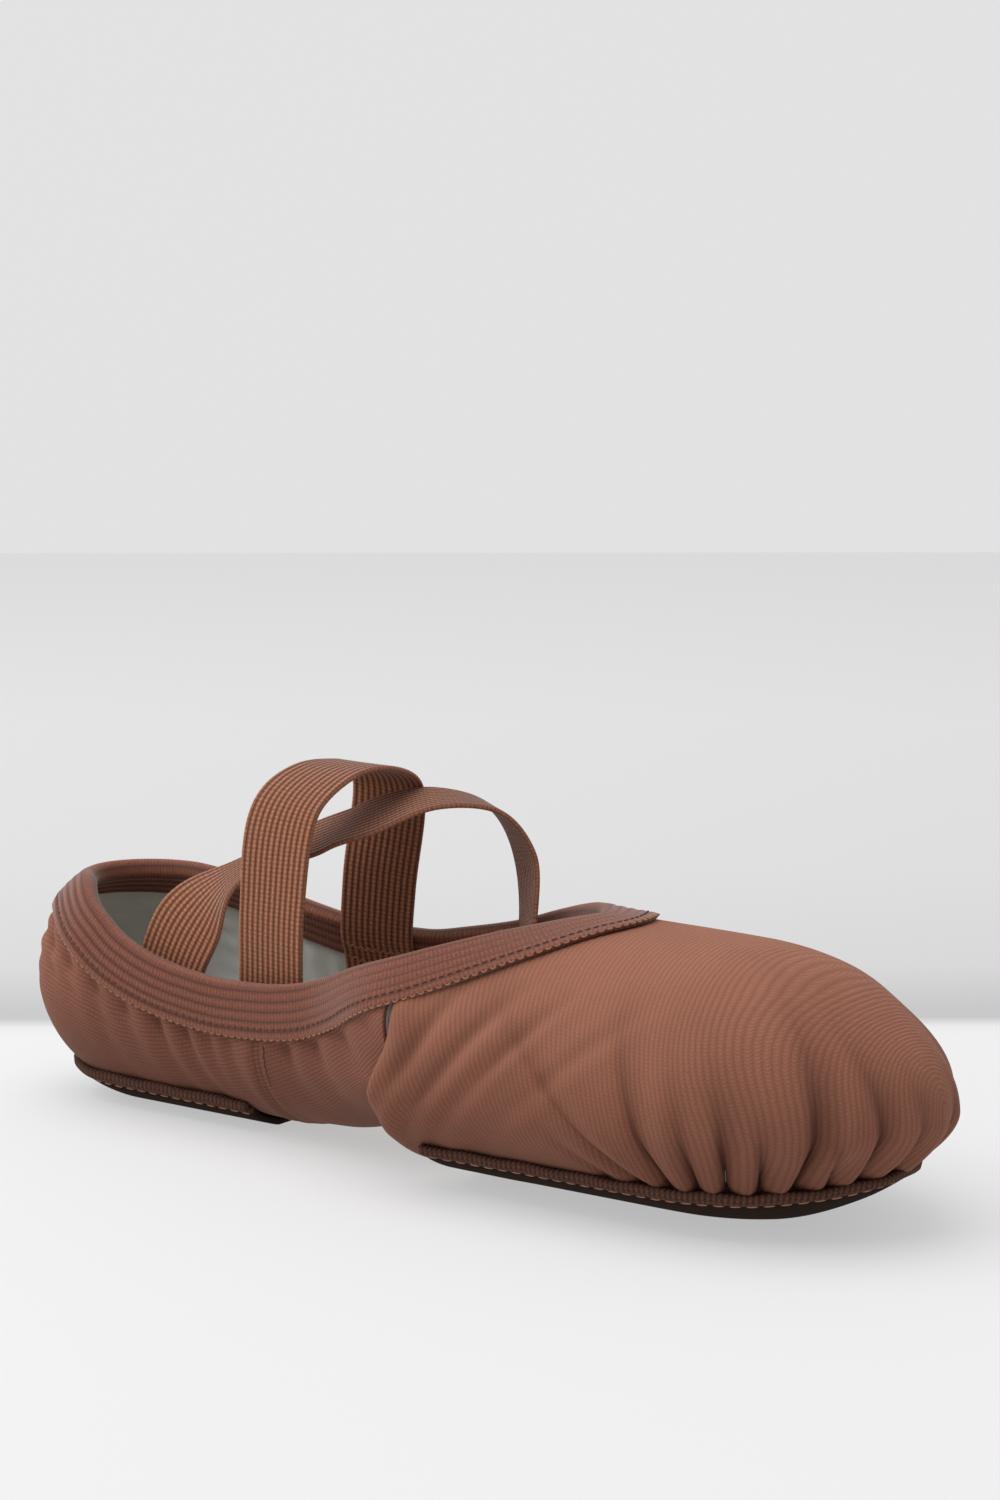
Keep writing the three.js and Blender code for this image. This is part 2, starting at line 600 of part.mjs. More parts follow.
// The sewn ends and the arch between them are separate solids, because the arch rises when
// the elastic stretches and the ends stay on the collar.
function strap(name, start, crown, finish) {
  const tail = (end) => [STRAP_TAIL, STRAP_TAIL / 2, 0].map((depth) => anchor(end, depth));
  const rise = (end) => {
    const { point, normal } = anchor(end, 0);
    return { point: point.add(new THREE.Vector3(...end.lean)), normal };
  };
  const knots = [...tail(start), rise(start), ...crown, rise(finish), ...tail(finish).reverse()];
  const course = new THREE.CatmullRomCurve3(knots.map((k) => k.point), false, "centripetal");
  const spans = knots.length - 1;
  const section = (at) => {
    const index = Math.min(Math.floor(at), spans - 1);
    const outward = knots[index].normal.clone().lerp(knots[index + 1].normal, at - index);
    const heading = course.getTangent(at / spans);
    const across = new THREE.Vector3().crossVectors(heading, outward).normalize();
    const facing = new THREE.Vector3().crossVectors(across, heading).normalize();
    return [-0.5, 0.5].map((edge) => ({
      point: course.getPoint(at / spans).addScaledVector(across, edge * STRAP_WIDTH),
      normal: facing,
    }));
  };
  const piece = (title, from, to, count) => thickSheet(
    title, ELASTIC, spread(from, to, count).map(section), STRAP_THICKNESS / 2, -STRAP_THICKNESS / 2);
  const cut = 2 + STRAP_CUT;
  return [
    piece(`${name}_right_end`, 0, cut, 4),
    piece(name, cut + STRAP_CUT_GAP, spans - cut - STRAP_CUT_GAP, 28),
    piece(`${name}_left_end`, spans - cut, spans, 4),
  ];
}

const straps = () => [
  ...strap("cross_strap", CROSS_RIGHT, CROSS_CROWN, CROSS_LEFT),
  ...strap("long_strap", LONG_RIGHT, LONG_CROWN, LONG_LEFT),
];

// Bar tack: a short zigzag of thread across the foot side of each strap end.
function tack(name, end) {
  const reach = STRAP_WIDTH / 2 - 2;
  const spots = spread(-reach, reach, 10).map((shift, i) => {
    const { point, normal } = anchor(end, STRAP_TAIL * (i % 2 ? 0.75 : 0.35), shift);
    return { point: point.addScaledVector(normal, -STRAP_THICKNESS / 2 - GAP - THREAD), normal };
  });
  return thread(name, spots);
}

// ---------------------------------------------------------------- assembly
const slipper = new THREE.Group();
slipper.name = "ballet_slipper";
slipper.add(
  ...soles(),
  ...pads(),
  heelQuarter("right_heel_quarter", RIGHT),
  heelQuarter("left_heel_quarter", LEFT),
  archPanel("right_arch_panel", RIGHT),
  archPanel("left_arch_panel", LEFT),
  vamp(),
  ...linings(),
  ...bindings(),
  ...bindingStitching(),
  ...soleStitching(),
  sideSeamStitching("right_side_seam_stitching", RIGHT),
  sideSeamStitching("left_side_seam_stitching", LEFT),
  backSeamStitching(),
  ...straps(),
  tack("cross_strap_right_tack", CROSS_RIGHT),
  tack("cross_strap_left_tack", CROSS_LEFT),
  tack("long_strap_right_tack", LONG_RIGHT),
  tack("long_strap_left_tack", LONG_LEFT),
);

const extent = new THREE.Box3().setFromObject(slipper);
const centre = extent.getCenter(new THREE.Vector3());
slipper.position.set(-centre.x, -centre.y, -extent.min.z);

export default slipper;
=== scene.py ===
import math

import bmesh
import bpy
import numpy as np
from mathutils import Matrix, Vector


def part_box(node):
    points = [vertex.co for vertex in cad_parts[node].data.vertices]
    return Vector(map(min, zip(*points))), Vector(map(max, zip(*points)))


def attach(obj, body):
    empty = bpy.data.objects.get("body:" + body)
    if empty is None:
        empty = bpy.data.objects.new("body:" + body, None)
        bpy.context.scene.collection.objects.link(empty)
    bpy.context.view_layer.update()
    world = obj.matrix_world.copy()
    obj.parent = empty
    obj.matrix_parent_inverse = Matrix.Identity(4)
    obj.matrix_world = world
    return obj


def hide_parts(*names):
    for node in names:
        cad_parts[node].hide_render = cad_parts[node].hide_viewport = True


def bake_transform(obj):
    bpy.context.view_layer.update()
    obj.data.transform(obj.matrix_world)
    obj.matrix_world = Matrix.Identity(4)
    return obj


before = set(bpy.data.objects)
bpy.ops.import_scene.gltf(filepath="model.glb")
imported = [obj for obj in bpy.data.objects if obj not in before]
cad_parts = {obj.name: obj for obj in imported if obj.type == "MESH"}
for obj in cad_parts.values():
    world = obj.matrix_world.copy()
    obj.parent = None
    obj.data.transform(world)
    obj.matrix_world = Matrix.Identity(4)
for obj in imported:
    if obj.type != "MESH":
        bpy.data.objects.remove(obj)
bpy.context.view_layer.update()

# ------------------------------------------------------------------ camera
# Low three-quarter view from the wearer's right, toe towards the lens. The lens sits 0.79 m
# from the slipper and is tipped up a little, so that the slipper stands low in the frame.
# The origin of all sizes in mm is under the middle of the slipper's 235 mm.
origin = Vector((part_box("vamp")[1][0] - 0.1175, 0, 0))
subject = origin + Vector((0, 0, 0.030))
azimuth, elevation, distance = math.radians(36.15), math.radians(13.24), 0.7938
back = Vector((math.sin(azimuth) * math.cos(elevation), -math.cos(azimuth) * math.cos(elevation),
               math.sin(elevation)))
right = Vector((math.cos(azimuth), math.sin(azimuth), 0))
up = back.cross(right)
tip_up, turn_right = math.radians(4.18), math.radians(0.53)
forward = (-back * math.cos(tip_up) + up * math.sin(tip_up)).normalized()
forward = (forward * math.cos(turn_right) + right * math.sin(turn_right)).normalized()
side_axis = forward.cross(Vector((0, 0, 1))).normalized()
head_axis = side_axis.cross(forward)
lens = bpy.data.cameras.new("camera")
lens.sensor_fit = "VERTICAL"
lens.sensor_height = 36
lens.lens = 87.9
lens.clip_start = 0.01
camera = bpy.data.objects.new("camera", lens)
camera.matrix_world = Matrix.Translation(subject + back * distance) @ Matrix(
    (side_axis, head_axis, -forward)).transposed().to_4x4()
bpy.context.scene.collection.objects.link(camera)
bpy.context.scene.camera = camera

# ------------------------------------------------------------------ floor and light
# A pale floor with a soft grey band behind the slipper, a bright plain wall beyond it, an
# even sky and three soft boxes. The floor glows a little, so that its shadows stay light.
FLOOR_LIT, FLOOR_GLOW, FLOOR_REACH, FLOOR_HALF = 0.42, 0.56, 2.5, 12
WALL_HALF, WALL_HEIGHT, WALL_FOOT, WALL_BEHIND = 9, 6, -0.01, 1.25
WALL_TONE = (0.76, 0.752, 0.757, 1)


def new_material(name, color, roughness):
    made = bpy.data.materials.new(name)
    made.use_nodes = True
    shader = made.node_tree.nodes["Principled BSDF"]
    shader.inputs["Base Color"].default_value = (*color, 1)
    shader.inputs["Roughness"].default_value = roughness
    return made, made.node_tree.nodes, made.node_tree.links, shader


def stand(name, mesh):
    """Puts a mesh in the scene as a piece of its own."""
    piece = bpy.data.objects.new(name, mesh)
    bpy.context.scene.collection.objects.link(piece)
    return piece


floor_paint, nodes, links, shader = new_material("floor_paint", (0.84, 0.84, 0.84), 0.8)
shader.inputs["Specular IOR Level"].default_value = 0.1
place = nodes.new("ShaderNodeTexCoord")
spin = nodes.new("ShaderNodeMapping")
spin.inputs["Rotation"].default_value = (0, 0, -azimuth)
apart = nodes.new("ShaderNodeSeparateXYZ")
reach = nodes.new("ShaderNodeMapRange")
reach.inputs["From Max"].default_value = FLOOR_REACH
fade = nodes.new("ShaderNodeValToRGB")
dim = nodes.new("ShaderNodeVectorMath")
dim.operation = "SCALE"
dim.inputs["Scale"].default_value = FLOOR_LIT
links.new(place.outputs["Object"], spin.inputs["Vector"])
links.new(spin.outputs["Vector"], apart.inputs["Vector"])
links.new(apart.outputs["Y"], reach.inputs["Value"])
links.new(reach.outputs["Result"], fade.inputs["Fac"])
links.new(fade.outputs["Color"], dim.inputs[0])
links.new(dim.outputs["Vector"], shader.inputs["Base Color"])
links.new(fade.outputs["Color"], shader.inputs["Emission Color"])
shader.inputs["Emission Strength"].default_value = FLOOR_GLOW
stops = fade.color_ramp.elements
stops[0].position, stops[0].color = 0.0463, (0.84, 0.84, 0.84, 1)
stops[1].position, stops[1].color = 0.50, (0.77, 0.764, 0.77, 1)
for spot, tone in ((0.051, 0.54), (0.075, 0.67), (0.13, 0.72), (0.25, 0.76)):
    stops.new(spot).color = (tone, tone * 0.993, tone, 1)
floor_mesh = bpy.data.meshes.new("floor")
floor_mesh.from_pydata([(x * FLOOR_HALF, y * FLOOR_HALF, 0) for x, y in ((-1, -1), (1, -1), (1, 1), (-1, 1))],
                       [], [(0, 1, 2, 3)])
floor_mesh.materials.append(floor_paint)
stand("floor", floor_mesh)

wall_paint, nodes, links, shader = new_material("wall_paint", (0, 0, 0), 1)
shader.inputs["Emission Color"].default_value = WALL_TONE
shader.inputs["Emission Strength"].default_value = 1.0
wall_mesh = bpy.data.meshes.new("back_wall")
wall_mesh.from_pydata([(-WALL_HALF, 0, WALL_FOOT), (WALL_HALF, 0, WALL_FOOT),
                       (WALL_HALF, 0, WALL_HEIGHT), (-WALL_HALF, 0, WALL_HEIGHT)], [], [(0, 1, 2, 3)])
wall_mesh.transform(Matrix.Rotation(azimuth, 4, "Z") @ Matrix.Translation((0, WALL_BEHIND, 0)))
wall_mesh.materials.append(wall_paint)
stand("back_wall", wall_mesh)

world = bpy.data.worlds.new("studio")
world.use_nodes = True
world.node_tree.nodes["Background"].inputs["Color"].default_value = WALL_TONE
world.node_tree.nodes["Background"].inputs["Strength"].default_value = 0.45
bpy.context.scene.world = world
bpy.context.scene.view_settings.view_transform = "Standard"


def soft_box(name, place, size, power):
    light = bpy.data.lights.new(name, "AREA")
    light.shape = "DISK"
    light.size = size
    light.energy = power
    lamp = bpy.data.objects.new(name, light)
    lamp.location = place
    lamp.rotation_euler = (subject - Vector(place)).to_track_quat("-Z", "Y").to_euler()
    bpy.context.scene.collection.objects.link(lamp)


soft_box("key", (-0.22, -0.22, 1.35), 1.7, 14)
soft_box("front_fill", (-0.55, -1.00, 0.95), 0.9, 3.5)
soft_box("left_fill", (-1.10, -0.30, 0.45), 0.5, 2.0)

# ------------------------------------------------------------------ the last
# The slipper is shaped over a last: a rounded bar whose width, top and underside change
# along its length. Lines run up it from under the foot to the collar or the ridge. All sizes
# from here on are in mm. The vamp and its throat are drawn on one form of the last, the heel
# and the arch on another, which is tucked in where the vamp's hem covers it.
LENGTH, HEEL_ROUND, TOE_ROUND = 235.0, 30.0, 50.0
HEEL_CENTRE, TOE_CENTRE = HEEL_ROUND - LENGTH / 2, LENGTH / 2 - TOE_ROUND
FOLD, THROAT, SIDE_SEAM = 0.0255 * LENGTH, 0.149 * LENGTH, -0.164 * LENGTH
HEEL_PATCH_FRONT, FRONT_PATCH_REAR = -0.204 * LENGTH, 0.051 * LENGTH
HEM_REAR, PANEL_FRONT, COLLAR_GAP = FOLD - 3.5, FOLD + 4, 0.45
RIM, HEEL_RIM, MARGIN = -33.0, -45.0, -56.0
WIDEST, THROAT_HEIGHT, INSTEP_HALF_WIDTH = 23.0, 56.0, 26.5
UPPER_ROUND, LOWER_ROUND = 2.2, 1.9
TUCK = 5.0


def through(stations, values):
    """Smooth curve through the values that never overshoots them."""
    s, v = np.array(stations, float), np.array(values, float)
    chord = np.diff(v) / np.diff(s)
    slope = np.zeros_like(v)
    both = chord[:-1] * chord[1:]
    total = np.where(both > 0, chord[:-1] + chord[1:], 1)
    slope[1:-1] = np.where(both > 0, 2 * both / total, 0)

    def at(x):
        x = np.clip(x, s[0], s[-1])
        i = np.clip(np.searchsorted(s, x) - 1, 0, len(s) - 2)
        width = s[i + 1] - s[i]
        t = (x - s[i]) / width
        bend = slope[i] * width * t * (1 - t) ** 2 - slope[i + 1] * width * t * t * (1 - t)
        return v[i] + (v[i + 1] - v[i]) * t * t * (3 - 2 * t) + bend
    return at


def ramp(v, start, end):
    t = np.clip((v - start) / (end - start), 0, 1)
    return t * t * (3 - 2 * t)


def swell(v, middle, wide):
    """1 at the middle, fading smoothly to 0 within about two widths of it."""
    return np.exp(-((v - middle) / wide) ** 2)


def shares(*values):
    return [LENGTH * v for v in values]


def unit(v):
    return v / np.linalg.norm(v, axis=-1, keepdims=True)


def run_along(course):
    """Distance along a course from its first point."""
    return np.concatenate([[0], np.cumsum(np.linalg.norm(np.diff(course, axis=0), axis=1))])


half_width = through(shares(-0.5, -0.34, -0.234, -0.106, 0.026, 0.149, 0.255, 0.362, 0.5),
                     [24, 24, 24, INSTEP_HALF_WIDTH, 40, 38, 38, 36.5, 34])
top_height = through(shares(-0.5, -0.3, -0.1, 0.02, 0.149, 0.255, 0.362, 0.5),
                     [55, 57, 58.5, 58, THROAT_HEIGHT, 55.5, 54.5, 48.5])
widest_height = through(shares(-0.5, -0.1, 0.26, 0.5), [WIDEST + 4, WIDEST, WIDEST, WIDEST + 2])
heel_under = through(shares(-0.5, -0.44, -0.21, -0.12, -0.02, 0.06), [4.2, 1.2, 1.2, 2.2, 3.8, 4.2])
fore_under = through(shares(0, 0.07, 0.12, 0.36, 0.42, 0.5), [1.9, 1.5, 1.2, 1.2, 3, 8])
collar_stations = shares(-0.5, -0.43, -0.38, -0.34, -0.3, -0.26, -0.21, -0.165, -0.12, -0.075,
                         -0.03, 0.015, 0.06, 0.106, 0.149)
collar_front = [44.5, 48, 51.4, 54.3, THROAT_HEIGHT]
right_collar = through(collar_stations,
                       [51, 51, 46, 41, 37.8, 36, 35, 35.5, 37, 40.2] + collar_front)
left_collar = through(collar_stations,
                      [51, 51, 50.8, 49.5, 47.5, 45, 42.5, 41, 41, 42.5] + collar_front)


def heel_tuck(x, z):
    return -TUCK * ramp(x, FOLD - 32, FOLD - 3) * (1 - ramp(z, WIDEST + 1, WIDEST + 18))


HEEL_FORM = (heel_under, heel_tuck)
FORE_FORM = (fore_under, lambda x, z: 0 * x)


def fullness(form, p):
    """1 on the surface of the last, less inside it."""
    x, y, z = p[..., 0], p[..., 1], p[..., 2]
    lengthwise = (x - np.clip(x, HEEL_CENTRE, TOE_CENTRE)) / np.where(x < 0, HEEL_ROUND, TOE_ROUND)
    middle = widest_height(x)
    above = z > middle
    round_ = np.where(above, UPPER_ROUND, LOWER_ROUND)
    reach = np.where(above, top_height(x) - middle, middle - form[0](x))
    plan = np.hypot(lengthwise, y / half_width(x))
    return (plan ** round_ + (np.abs(z - middle) / reach) ** round_) ** (1 / round_)


def form_normals(form, p):
    step = 0.05
    return unit(np.stack([fullness(form, p + d) - fullness(form, p - d) for d in np.eye(3) * step], -1))


def onto_form(form, p):
    """Moves points near the last onto it."""
    size = fullness(form, p)
    spine = np.clip(p[..., 0], HEEL_CENTRE, TOE_CENTRE)
    x = spine + (p[..., 0] - spine) / size
    y = p[..., 1] / half_width(p[..., 0]) * half_width(x) / size
    z = widest_height(x) + (p[..., 2] - widest_height(p[..., 0])) / size
    return np.stack([x, y, z], -1)


def wall_lines(x, side, fan=0.0, upper=None):
    """One line for each entry: its place, its lean above the widest height, its turn round
    an end. Each row holds spine place, upper place, reach past the spine, outward share, side."""
    x, side, fan = np.broadcast_arrays(np.array(x, float), np.array(side, float), np.array(fan, float))
    spine = np.where(fan == 0, x, np.clip(x, HEEL_CENTRE, TOE_CENTRE))
    upper = spine if upper is None else np.array(upper, float)
    end = np.where(x < 0, -HEEL_ROUND, TOE_ROUND) * np.sin(np.radians(fan))
    return np.stack([spine, upper, end, np.cos(np.radians(fan)) * side, side], -1)


def line_points(form, lines, angle):
    """Points at section angles, one row of angles for each line."""
    spine, upper, end, out, _ = (lines[:, k, None] for k in range(5))
    c, s = np.cos(np.radians(angle)), np.sin(np.radians(angle))
    round_ = np.where(angle > 0, UPPER_ROUND, LOWER_ROUND)
    scale = (np.abs(c) ** round_ + np.abs(s) ** round_) ** (-1 / round_)
    x = spine + (upper - spine) * ramp(angle, -4, 20) + end * c * scale
    middle = widest_height(x)
    reach = np.where(angle > 0, top_height(x) - middle, middle - form[0](x))
    return np.stack([x, out * half_width(x) * c * scale, middle + reach * s * scale], -1)


def collar_angles(form, lines):
    """The section angle at which each line meets the collar, or 90 where it runs to the ridge."""
    side = lines[:, 4, None]

    def under(angle):
        p = line_points(form, lines, angle)
        collar = np.where(side < 0, right_collar(p[..., 0]), left_collar(p[..., 0]))
        return (p[..., 0] >= THROAT - 1e-6) | (p[..., 2] < collar)

    low, high = np.zeros((len(lines), 1)), np.full((len(lines), 1), 89.99)
    covered = under(high)
    for _ in range(29):
        middle = (low + high) / 2
        below = under(middle)
        low, high = np.where(below, middle, low), np.where(below, high, middle)
    return np.where(covered, 90.0, low)


def wall_grid(form, lines, wall_rows, under_rows=0, lowest=MARGIN):
    """Points down each line: evenly from collar to rim, then on under the foot.
    Returns the points, their normals and how far below the collar each lies."""
    top = collar_angles(form, lines)
    angle = top + (RIM - top) * np.linspace(0, 1, 200)
    trace = line_points(form, lines, angle)
    run = np.stack([run_along(t) for t in trace])
    share = np.linspace(0, 1, wall_rows + 1)
    wall = np.stack([np.stack([np.interp(share * r[-1], r, t[:, k]) for k in range(3)], -1)
                     for r, t in zip(run, trace)])
    depth = share * run[:, -1:]
    if under_rows:
        beneath = np.linspace(RIM, lowest, under_rows + 1)[None, 1:] * np.ones((len(lines), 1))
        under = line_points(form, lines, beneath)
        path = np.concatenate([wall[:, -1:], under], 1)
        more = np.cumsum(np.linalg.norm(np.diff(path, axis=1), axis=2), axis=1)
        wall = np.concatenate([wall, under], 1)
        depth = np.concatenate([depth, depth[:, -1:] + more], 1)
    normal = form_normals(form, wall)
    wall = wall + normal * form[1](wall[..., 0], wall[..., 2])[..., None]
    return wall, normal, depth


def down_the_wall(form, lines, depth):
    """The spot on each line at its own depth below the collar."""
    wall, normal, run = wall_grid(form, lines, 160)
    depth = np.broadcast_to(depth, (len(lines),))

    def pick(grid):
        return np.stack([[np.interp(d, r, g[:, k]) for k in range(3)] for d, r, g in zip(depth, run, grid)])
    return pick(wall), pick(normal)


def both_halves(half, joined):
    """Lines of the right half then the left, joined at their last or first entry."""
    mirrored = half.copy()
    mirrored[:, 3:] *= -1
    if joined == "last":
        return np.concatenate([half, mirrored[:-1][::-1]])
    return np.concatenate([half[::-1], mirrored[1:]])


def fore_lines(rear, step, fan_count, slanted=True):
    """Lines from the rear up one side, round the toe and back. Slanted ones reach the fold's top."""
    straight = np.arange(rear, TOE_CENTRE, step)
    back = (THROAT - straight) / (THROAT - HEM_REAR)
    upper = np.where((straight < THROAT) & slanted, THROAT + (FOLD + COLLAR_GAP - THROAT) * back, straight)
    fan = np.linspace(0, 90, fan_count + 1)
    return both_halves(np.concatenate([
        wall_lines(straight, -1, upper=upper), wall_lines(TOE_CENTRE, -1, fan)]), "last")


def heel_lines(front, step, fan_count, slanted=True):
    """Lines from the front down one side, round the heel and back, slanted like the fore lines."""
    fan = np.linspace(90, 0, fan_count + 1)
    straight = np.append(np.arange(HEEL_CENTRE + step, front, step), front)
    ahead = (straight - SIDE_SEAM) / (PANEL_FRONT - SIDE_SEAM)
    upper = np.where((straight > SIDE_SEAM) & slanted,
                     SIDE_SEAM + ahead * (FOLD - COLLAR_GAP - SIDE_SEAM), straight)
    return both_halves(np.concatenate([
        wall_lines(HEEL_CENTRE, -1, fan), wall_lines(straight, -1, upper=upper)]), "first")


# ------------------------------------------------------------------ vamp
# One piece of ribbed stretch canvas over toes and forefoot, pleated into the front patch
# round the toe. Its rear hem hangs loose over the arch.
CANVAS, FLOOR_CLEAR = 0.9, 0.6
WALL_ROWS, UNDER_ROWS, HEM_ROW = 96, 14, 48
RIB, STITCH = 0.00110, 0.0008


def set_weave(mesh, uv):
    """Lays the cloth's own place, in metres across and along it, on the mesh."""
    layer = mesh.uv_layers.new(name="weave")
    corner = np.empty(len(mesh.loops), np.int32)
    mesh.loops.foreach_get("vertex_index", corner)
    layer.data.foreach_set("uv", (uv.reshape(-1, 2)[corner] / 1000).ravel())


def cloth(name, points, uv, thickness, materials, painted_fold_shade=None):
    """Closed cloth of even thickness, its outer face on a grid of points. Painted fold shade is 0 to 1."""
    count, rows = points.shape[:2]
    index = np.arange(count * rows).reshape(count, rows)
    quads = np.stack([index[:-1, :-1], index[1:, :-1], index[1:, 1:], index[:-1, 1:]], -1).reshape(-1, 4)
    mesh = bpy.data.meshes.new(name)
    place = points.reshape(-1, 3) / 1000 + np.array(origin)
    mesh.from_pydata(place.tolist(), [], quads.tolist())
    set_weave(mesh, uv)
    # The painted fold shade is stored on the points so the canvas material can darken the colour there.
    if painted_fold_shade is not None:
        shade = mesh.attributes.new("painted_fold_shade", "FLOAT", "POINT")
        shade.data.foreach_set("value", np.clip(painted_fold_shade, 0, 1).ravel())
    for made in materials:
        mesh.materials.append(made)
    shape = bmesh.new()
    shape.from_mesh(mesh)
    bmesh.ops.remove_doubles(shape, verts=shape.verts, dist=2e-6)
    bmesh.ops.dissolve_degenerate(shape, edges=shape.edges, dist=1e-7)
    bmesh.ops.recalc_face_normals(shape, faces=shape.faces)
    shape.normal_update()
    middle = Vector((0, 0, 0.025)) + origin
    outward = sum((f.calc_center_median() - middle).dot(f.normal) * f.calc_area() for f in shape.faces)
    if outward < 0:
        bmesh.ops.reverse_faces(shape, faces=shape.faces)
    shape.to_mesh(mesh)
    shape.free()
    piece = stand(name, mesh)
    wall = piece.modifiers.new("thickness", "SOLIDIFY")
    wall.thickness = thickness / 1000
    wall.offset = -1
    settle(piece)
    return piece


def settle(piece):
    """Turns a piece and its modifiers into a plain smooth mesh."""
    seen = piece.evaluated_get(bpy.context.evaluated_depsgraph_get())
    mesh = bpy.data.meshes.new_from_object(seen)
    piece.modifiers.clear()
    piece.data = mesh
    mesh.polygons.foreach_set("use_smooth", np.ones(len(mesh.polygons), bool))


def bends_at_fold(piece):
    """Bakes the piece's placement into its mesh."""
    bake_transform(piece)


def math_node(n, l, operation, *values):
    made = n.new("ShaderNodeMath")
    made.operation = operation
    for socket, value in zip(made.inputs, values):
        if isinstance(value, (int, float)):
            socket.default_value = value
        else:
            l.new(value, socket)
    return made.outputs[0]


def noise(n, l, vector, scale, detail=2.0):
    made = n.new("ShaderNodeTexNoise")
    made.inputs["Scale"].default_value = scale
    made.inputs["Detail"].default_value = detail
    l.new(vector, made.inputs["Vector"])
    return made.outputs["Fac"]


def mixed_color(n, l, factor, first, second, blend="MIX"):
    """The first and second are colours or sockets."""
    made = n.new("ShaderNodeMix")
    made.data_type = "RGBA"
    made.blend_type = blend
    l.new(factor, made.inputs["Factor"])
    for socket, value in (("A", first), ("B", second)):
        if isinstance(value, tuple):
            made.inputs[socket].default_value = (*value, 1)
        else:
            l.new(value, made.inputs[socket])
    return made.outputs["Result"]


def raised(n, l, shader, height, strength, distance):
    bump = n.new("ShaderNodeBump")
    bump.inputs["Strength"].default_value = strength
    bump.inputs["Distance"].default_value = distance
    l.new(height, bump.inputs["Height"])
    l.new(bump.outputs["Normal"], shader.inputs["Normal"])


def knit_group():
    """Ribs across U and small slanted stitches along each rib; gives height and shade."""
    group = bpy.data.node_groups.new("ribbed_knit", "ShaderNodeTree")
    sockets = group.interface
    sockets.new_socket("Weave", in_out="INPUT", socket_type="NodeSocketVector")
    sockets.new_socket("Rib", in_out="INPUT", socket_type="NodeSocketFloat").default_value = RIB
    sockets.new_socket("Stitch", in_out="INPUT", socket_type="NodeSocketFloat").default_value = STITCH
    sockets.new_socket("Height", in_out="OUTPUT", socket_type="NodeSocketFloat")
    sockets.new_socket("Shade", in_out="OUTPUT", socket_type="NodeSocketFloat")
    n, l = group.nodes, group.links
    start, end = n.new("NodeGroupInput"), n.new("NodeGroupOutput")
    wobble = noise(n, l, start.outputs["Weave"], 260)
    apart = n.new("ShaderNodeSeparateXYZ")
    l.new(start.outputs["Weave"], apart.inputs["Vector"])
    across = math_node(n, l, "ADD", math_node(n, l, "DIVIDE", apart.outputs["X"], start.outputs["Rib"]),
                       math_node(n, l, "MULTIPLY", wobble, 0.35))
    along = math_node(n, l, "DIVIDE", apart.outputs["Y"], start.outputs["Stitch"])
    in_rib = math_node(n, l, "SUBTRACT", math_node(n, l, "FRACT", across), 0.5)
    in_rib = math_node(n, l, "ABSOLUTE", in_rib)
    rib = math_node(n, l, "SUBTRACT", 1.0, math_node(n, l, "MULTIPLY", in_rib, 2.0))
    rib = math_node(n, l, "POWER", rib, 0.6)
    slanted = math_node(n, l, "ADD", along, math_node(n, l, "MULTIPLY", in_rib, 1.3))
    wave = math_node(n, l, "COSINE", math_node(n, l, "MULTIPLY", slanted, 2 * math.pi))
    stitch = math_node(n, l, "MULTIPLY_ADD", wave, 0.5, 0.5)
    height = math_node(n, l, "MULTIPLY", rib, math_node(n, l, "MULTIPLY_ADD", stitch, 0.45, 0.55))
    speck = noise(n, l, start.outputs["Weave"], 2600)
    shade = math_node(n, l, "MULTIPLY", height, math_node(n, l, "MULTIPLY_ADD", speck, 1.6, 0.2))
    l.new(height, end.inputs["Height"])
    l.new(shade, end.inputs["Shade"])
    return group


knit = knit_group()


def knit_on_weave(n, l, rib, stitch):
    """The knit laid on the cloth's own place."""
    weave = n.new("ShaderNodeUVMap")
    weave.uv_map = "weave"
    ribs = n.new("ShaderNodeGroup")
    ribs.node_tree = knit
    ribs.inputs["Rib"].default_value = rib
    ribs.inputs["Stitch"].default_value = stitch
    l.new(weave.outputs["UV"], ribs.inputs["Weave"])
    return ribs


def canvas_material(name, light, dark, rib, stitch):
    """Knitted canvas, a little blotchy, with painted shade in its folds and painted shade darkening it towards
    the sole.
    """
    made, n, l, shader = new_material(name, light, 0.88)
    shader.inputs["Sheen Weight"].default_value = 0.10
    shader.inputs["Sheen Roughness"].default_value = 0.4
    shader.inputs["Sheen Tint"].default_value = (0.9, 0.6, 0.45, 1)
    shader.inputs["Specular IOR Level"].default_value = 0.2
    ribs = knit_on_weave(n, l, rib, stitch)
    place = n.new("ShaderNodeTexCoord")
    blotch = noise(n, l, place.outputs["Object"], 45, 6)
    # Painted shade in the folds and creases, read from the mesh.
    painted_fold_shade = n.new("ShaderNodeAttribute")
    painted_fold_shade.attribute_name = "painted_fold_shade"
    height = n.new("ShaderNodeSeparateXYZ")
    l.new(place.outputs["Object"], height.inputs["Vector"])
    # Painted shade towards the sole: strongest 10 mm above the floor, gone by 38 mm.
    low = n.new("ShaderNodeMapRange")
    low.inputs["From Min"].default_value = 0.010
    low.inputs["From Max"].default_value = 0.038
    low.inputs["To Min"].default_value = 0.62
    low.inputs["To Max"].default_value = 0.0
    l.new(height.outputs["Z"], low.inputs["Value"])
    deep = math_node(n, l, "MAXIMUM", painted_fold_shade.outputs["Fac"], low.outputs["Result"])
    tone = mixed_color(n, l, ribs.outputs["Shade"], dark, light)
    worn = mixed_color(n, l, blotch, tone, (0.80, 0.77, 0.75), "MULTIPLY")
    # The colour is multiplied towards a dark brown by the deeper of the two painted shades.
    shaded = mixed_color(n, l, deep, worn, (0.26, 0.22, 0.20), "MULTIPLY")
    l.new(shaded, shader.inputs["Base Color"])
    raised(n, l, shader, ribs.outputs["Height"], 0.7, 0.0002)
    return made


